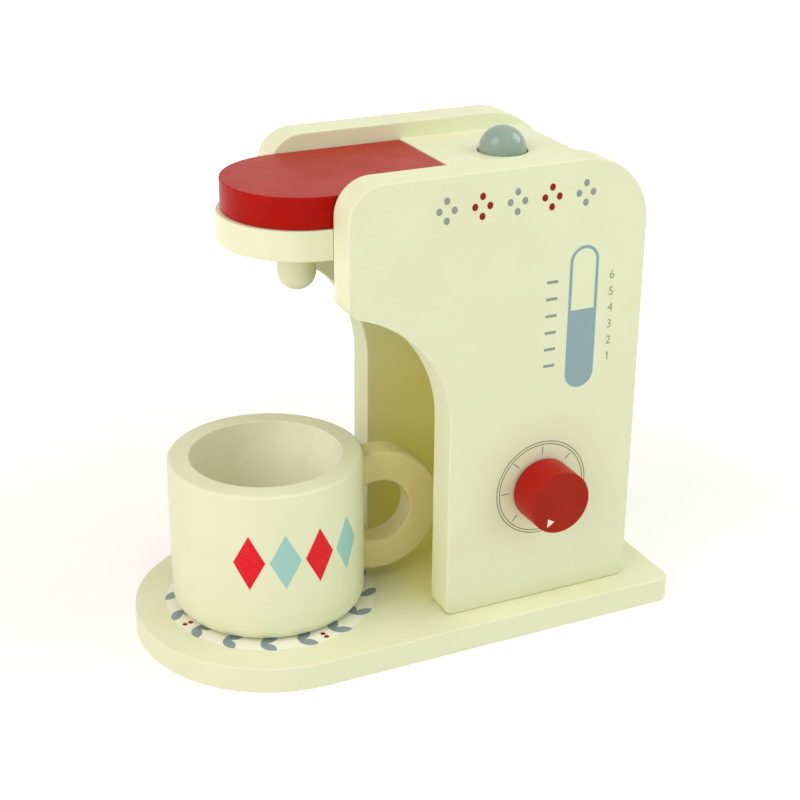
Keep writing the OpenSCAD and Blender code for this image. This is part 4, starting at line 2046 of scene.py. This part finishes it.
@dataclass
class Cup(Assembly):
    """The turned cup, its ring handle and the diamonds printed round it."""

    wall: float = 7.5 * MM
    floor: float = 8 * MM
    foot_round: float = 5 * MM
    outer_rim: float = 1.2 * MM
    inner_rim: float = 0.35 * MM
    inner_fillet: float = 3 * MM
    turn: float = -4.5
    handle_radius: float = 22.9 * MM
    handle_band: float = 11.2 * MM
    handle_thickness: float = 10 * MM
    handle_edge: float = 1.0 * MM
    handle_stand_off: float = 5.9 * MM
    handle_height: float = 27.9 * MM
    diamond_half_angle: float = 9.2
    diamond_half_height: float = 10 * MM
    diamond_height: float = 30.6 * MM
    diamond_spacing: float = 20.9
    diamonds: int = 4
    body_facets: int = 128
    handle_facets: int = 120
    diamond_facets: int = 16

    def build(self) -> None:
        """Models the cup about its own foot, and sets it on the base board."""
        block = Block.of("cup_body")
        self.radius = block.size.x / 2
        self.height = block.size.z
        self.foot = Matrix.Translation(block.foot)
        self.model_body()
        self.model_handle()
        self.print_diamonds()
        self.dress_nodes(BARE_WOOD, Grain.ALONG_X, "cup_handle_dowels")

    def model_body(self) -> None:
        """Turns the body from its profile."""
        outer, inner, top = self.radius, self.radius - self.wall, self.height
        profile = Sketch("cup_body_painted", Sheet.turning(Vector()), (0, 0))
        profile.corner((outer, 0), self.foot_round).corner((outer, top), self.outer_rim)
        profile.corner((inner, top), self.inner_rim)
        profile.corner((inner, self.floor), self.inner_fillet, -1).line_to((0, self.floor))
        body = smooth(settle(profile.turn(self.body_facets), self.foot))
        self.put(body, CUP_CREAM, Grain.ALONG_X, Body.CUP, Slot.CREAM, "cup_body")
        axis, reach = self.foot.translation.xy, inner + self.inner_rim / 2

        def inside(centre: Vector, normal: Vector) -> bool:
            """Says whether a face belongs to the hollow."""
            above = centre.z > self.foot.translation.z + self.floor - SAME_POINT
            return above and (centre.xy - axis).length < reach

        # the hollow's paler paint is partly painted light that lifts its shade
        dress_faces(body, CUP_INSIDE.make(self.effects, Grain.ALONG_X), inside)

    def model_handle(self) -> None:
        """Turns the handle's ring, and cuts it to the cup's wall."""
        edge = self.handle_edge
        outer, inner = self.handle_radius, self.handle_radius - self.handle_band
        half = self.handle_thickness / 2
        centre = Vector((self.radius + self.handle_stand_off, 0, self.handle_height))
        sheet = Sheet.turning(centre, Y_AXIS)
        profile = Sketch("cup_handle_painted", sheet, (inner + edge, -half))
        for sharp in ((outer, -half), (outer, half), (inner, half), (inner, -half)):
            profile.corner(sharp, edge)
        handle = profile.turn(self.handle_facets)
        start = -MM * Z_AXIS
        cut_away(handle, drill_bit(start, Z_AXIS, self.radius - INK, self.height + 2 * MM))
        settle(handle, self.foot @ Matrix.Rotation(math.radians(self.turn), 4, "Z"))
        smooth(handle)
        # painted shade colour on the handle
        self.put(handle, HANDLE_SHADE_CREAM, Grain.ALONG_X, Body.CUP, Slot.CREAM, "cup_handle")

    def print_diamonds(self) -> None:
        """Prints the row of diamonds on both sides of the cup, red and pale blue in turn."""
        row = [self.diamond_spacing * (i - (self.diamonds - 1) / 2) for i in range(self.diamonds)]
        inks = (
            ("red_diamonds_print", row[::2], BRIGHT_RED_INK, Slot.RED),
            ("blue_diamonds_print", row[1::2], PALE_BLUE_INK, Slot.GREY_BLUE),
        )
        for name, angles, ink, slot in inks:
            places = (
                self.foot @ Matrix.Rotation(math.radians(side + angle), 4, "Z")
                for side in (-90, 90)
                for angle in angles
            )
            prints = repeat(thicken(self.diamond(name)), places)
            self.put(prints, ink, None, Body.CUP, slot)

    def diamond(self, name: str) -> bpy.types.Object:
        """Draws one diamond on the cup's wall, towards +X of the cup's own axis.

        Args:
            name: The piece's name.

        Returns:
            The curved diamond.
        """
        half, spread = self.diamond_half_height, self.diamond_half_angle
        low, high = self.diamond_height - half, self.diamond_height + half
        sheet = Sheet.turning(Vector())
        patch = Sketch(name, sheet, (self.radius, low)).line_to((self.radius, high))
        piece = patch.turn(self.diamond_facets, 2 * spread)
        settle(piece, Matrix.Rotation(-math.radians(spread), 4, "Z"))
        reach = self.radius * math.sin(math.radians(spread))
        middle = Vector((self.radius, 0, self.diamond_height))
        for side in (-1, 1):
            for way in (-1, 1):
                corner = middle + Vector((0, side * reach, 0))
                slope = Vector((0, -side * reach, way * half))
                outward = X_AXIS.cross(slope)
                outward *= math.copysign(1, outward.y * side)
                plane_off(piece, corner, outward, fill=False)
        return piece


# ---------------------------------------------------------------- studio


def towards(azimuth: float, elevation: float) -> Vector:
    """Finds the direction of a lamp or the camera from the object.

    Args:
        azimuth: The angle round the object from the knob side, in degrees.
        elevation: The angle above the floor, in degrees.

    Returns:
        The direction, of length one.
    """
    turn, rise = math.radians(azimuth), math.radians(elevation)
    level = math.cos(rise)
    return Vector((math.sin(turn) * level, -math.cos(turn) * level, math.sin(rise)))


@dataclass(frozen=True)
class Softbox:
    """A square lamp behind white cloth, which faces the object."""

    name: str
    azimuth: float
    elevation: float
    distance: float
    side: float
    power: float
    colour: tuple[float, float, float] = (1.0, 1.0, 1.0)
    mirrored: bool = True

    def hang(self, aim: Vector) -> None:
        """Hangs the lamp.

        Args:
            aim: The point that it faces.
        """
        data = bpy.data.lights.new(self.name, "AREA")
        data.shape = "SQUARE"
        data.size = self.side
        data.energy = self.power
        data.color = self.colour
        lamp = bpy.data.objects.new(self.name, data)
        bpy.context.scene.collection.objects.link(lamp)
        away = towards(self.azimuth, self.elevation)
        lamp.location = aim + self.distance * away
        lamp.rotation_euler = away.to_track_quat("Z", "Y").to_euler()
        lamp.visible_glossy = self.mirrored


SOFTBOXES = (
    Softbox("left softbox", -82.4, 48.5, 0.9, 0.5, 1.95, (1.0, 0.92, 0.95)),
    Softbox("right softbox", 79.0, 40.2, 0.9, 0.45, 2.3, (1.0, 1.0, 0.9)),
    Softbox("low left fill", -58.0, 26.0, 1.0, 0.5, 2.35, (1.0, 0.91, 0.92), False),
    Softbox("low side fill", -85.0, 12.0, 1.0, 0.5, 1.05, (1.0, 0.92, 0.84), False),
    Softbox("low right fill", 45.0, 20.0, 1.0, 0.6, 2.25, (0.78, 0.945, 1.0), False),
    Softbox("back fill", 154.5, 32.0, 1.2, 0.8, 1.0, (1.0, 0.98, 0.9), False),
    Softbox("top fill", -10.0, 68.0, 1.1, 0.7, 2.25, (0.95, 0.97, 0.98), False),
)


@dataclass
class Studio:
    """The pale floor, the soft lights and the camera."""

    azimuth: float = -25.527
    elevation: float = 23.844
    roll: float = 0.471
    distance: float = 579.056 * MM
    lens: float = 73.63
    sensor: float = 36.0
    aim: tuple[float, float, float] = (8.843 * MM, 6.295 * MM, 71.705 * MM)
    floor_size: float = 8.0
    world_level: float = 0.37
    world_tint: Colour = (1.0, 0.94, 0.84, 1.0)
    floor_near: float = 0.16
    floor_far: float = 0.42
    floor_lift: float = 0.15
    floor_drop: float = 0.02 * MM
    floor_grain: float = 25 * MM
    floor_shades: tuple[Colour, Colour] = ((0.96, 0.96, 0.96, 1.0), (0.94, 0.94, 0.94, 1.0))
    floor_glow: Colour = (0.92, 0.96, 1.0, 1.0)
    floor_roughness: float = 0.8
    floor_gloss: float = 0.2

    def build(self) -> None:
        """Sets up everything round the object."""
        self.lay_floor()
        self.light_world()
        for softbox in SOFTBOXES:
            softbox.hang(Vector(self.aim))
        self.place_camera()
        bpy.context.scene.view_settings.view_transform = "Standard"

    def lay_floor(self) -> None:
        """Lays a plain floor just under the base board, which whitens far from the object."""
        deselect_all()
        place = (0, 0, -self.floor_drop)
        bpy.ops.mesh.primitive_plane_add(size=self.floor_size, location=place)
        floor = bpy.context.object
        floor.name = "floor"
        bpy.ops.object.transform_apply(location=True)
        material, bench, shader = new_material("pale floor")
        place = bench.add("TexCoord").outputs["Object"]
        away = bench.add("VectorMath", {0: place}, operation="LENGTH").outputs["Value"]
        far = bench.between(away, self.floor_near, self.floor_far)
        dust = bench.noise(bench.in_units(place, self.floor_grain))
        glow = bench.sum("ADD", far, self.floor_lift)
        surface = {
            "Base Color": bench.mix(dust, *self.floor_shades),
            "Roughness": self.floor_roughness,
            "Specular IOR Level": self.floor_gloss,
            "Emission Color": self.floor_glow,
            "Emission Strength": bench.product(glow, self.seen(bench)),
        }
        bench.feed_all(shader, surface)
        dress(floor, material)

    def seen(self, bench: NodeBench) -> bpy.types.NodeSocket:
        """Says whether a ray comes from the camera, from a reflection or through glass.

        Args:
            bench: The bench to lay the nodes on.

        Returns:
            1 where it does, and 0 for light that falls on the object.
        """
        path = bench.add("LightPath").outputs
        direct = bench.sum("MAXIMUM", path["Is Camera Ray"], path["Is Glossy Ray"])
        return bench.sum("MAXIMUM", direct, path["Is Transmission Ray"])

    def light_world(self) -> None:
        """Lights the scene evenly, and shows white where the world itself is seen."""
        world = bpy.data.worlds.new("studio")
        bpy.context.scene.world = world
        world.use_nodes = True
        world.node_tree.nodes.clear()
        bench = NodeBench(world.node_tree)
        seen = self.seen(bench)
        level = bench.add("MapRange", {"Value": seen, "To Min": self.world_level}).outputs["Result"]
        tint = bench.mix(seen, self.world_tint, WHITE)
        background = bench.add("Background", {"Color": tint, "Strength": level})
        output = bench.add("OutputWorld")
        bench.feed(background.outputs[0], output.inputs["Surface"])

    def place_camera(self) -> None:
        """Places the camera."""
        data = bpy.data.cameras.new("camera")
        data.lens = self.lens
        data.sensor_width = self.sensor
        camera = bpy.data.objects.new("camera", data)
        scene = bpy.context.scene
        scene.collection.objects.link(camera)
        back = towards(self.azimuth, self.elevation)
        right = Z_AXIS.cross(back).normalized()
        up = back.cross(right)
        turn = Matrix((right, up, back)).transposed()
        roll = Matrix.Rotation(math.radians(self.roll), 3, "Z")
        place = Matrix.Translation(Vector(self.aim) + self.distance * back)
        camera.matrix_world = place @ (turn @ roll).to_4x4()
        scene.camera = camera


# ---------------------------------------------------------------- putting it together


def main() -> None:
    """Builds the studio and each sub-assembly in order."""
    logging.basicConfig(level=logging.INFO, format="%(name)s: %(message)s")
    Studio().build()
    effects = Effects()
    parts = (BaseBoard, SidePanels, PanelPrints, Head, Lid, Spout, Button, Knob, Cup)
    for part in parts:
        part(effects).build()
        log.info("%s is done", part.__name__)


if __name__ == "__main__":
    main()
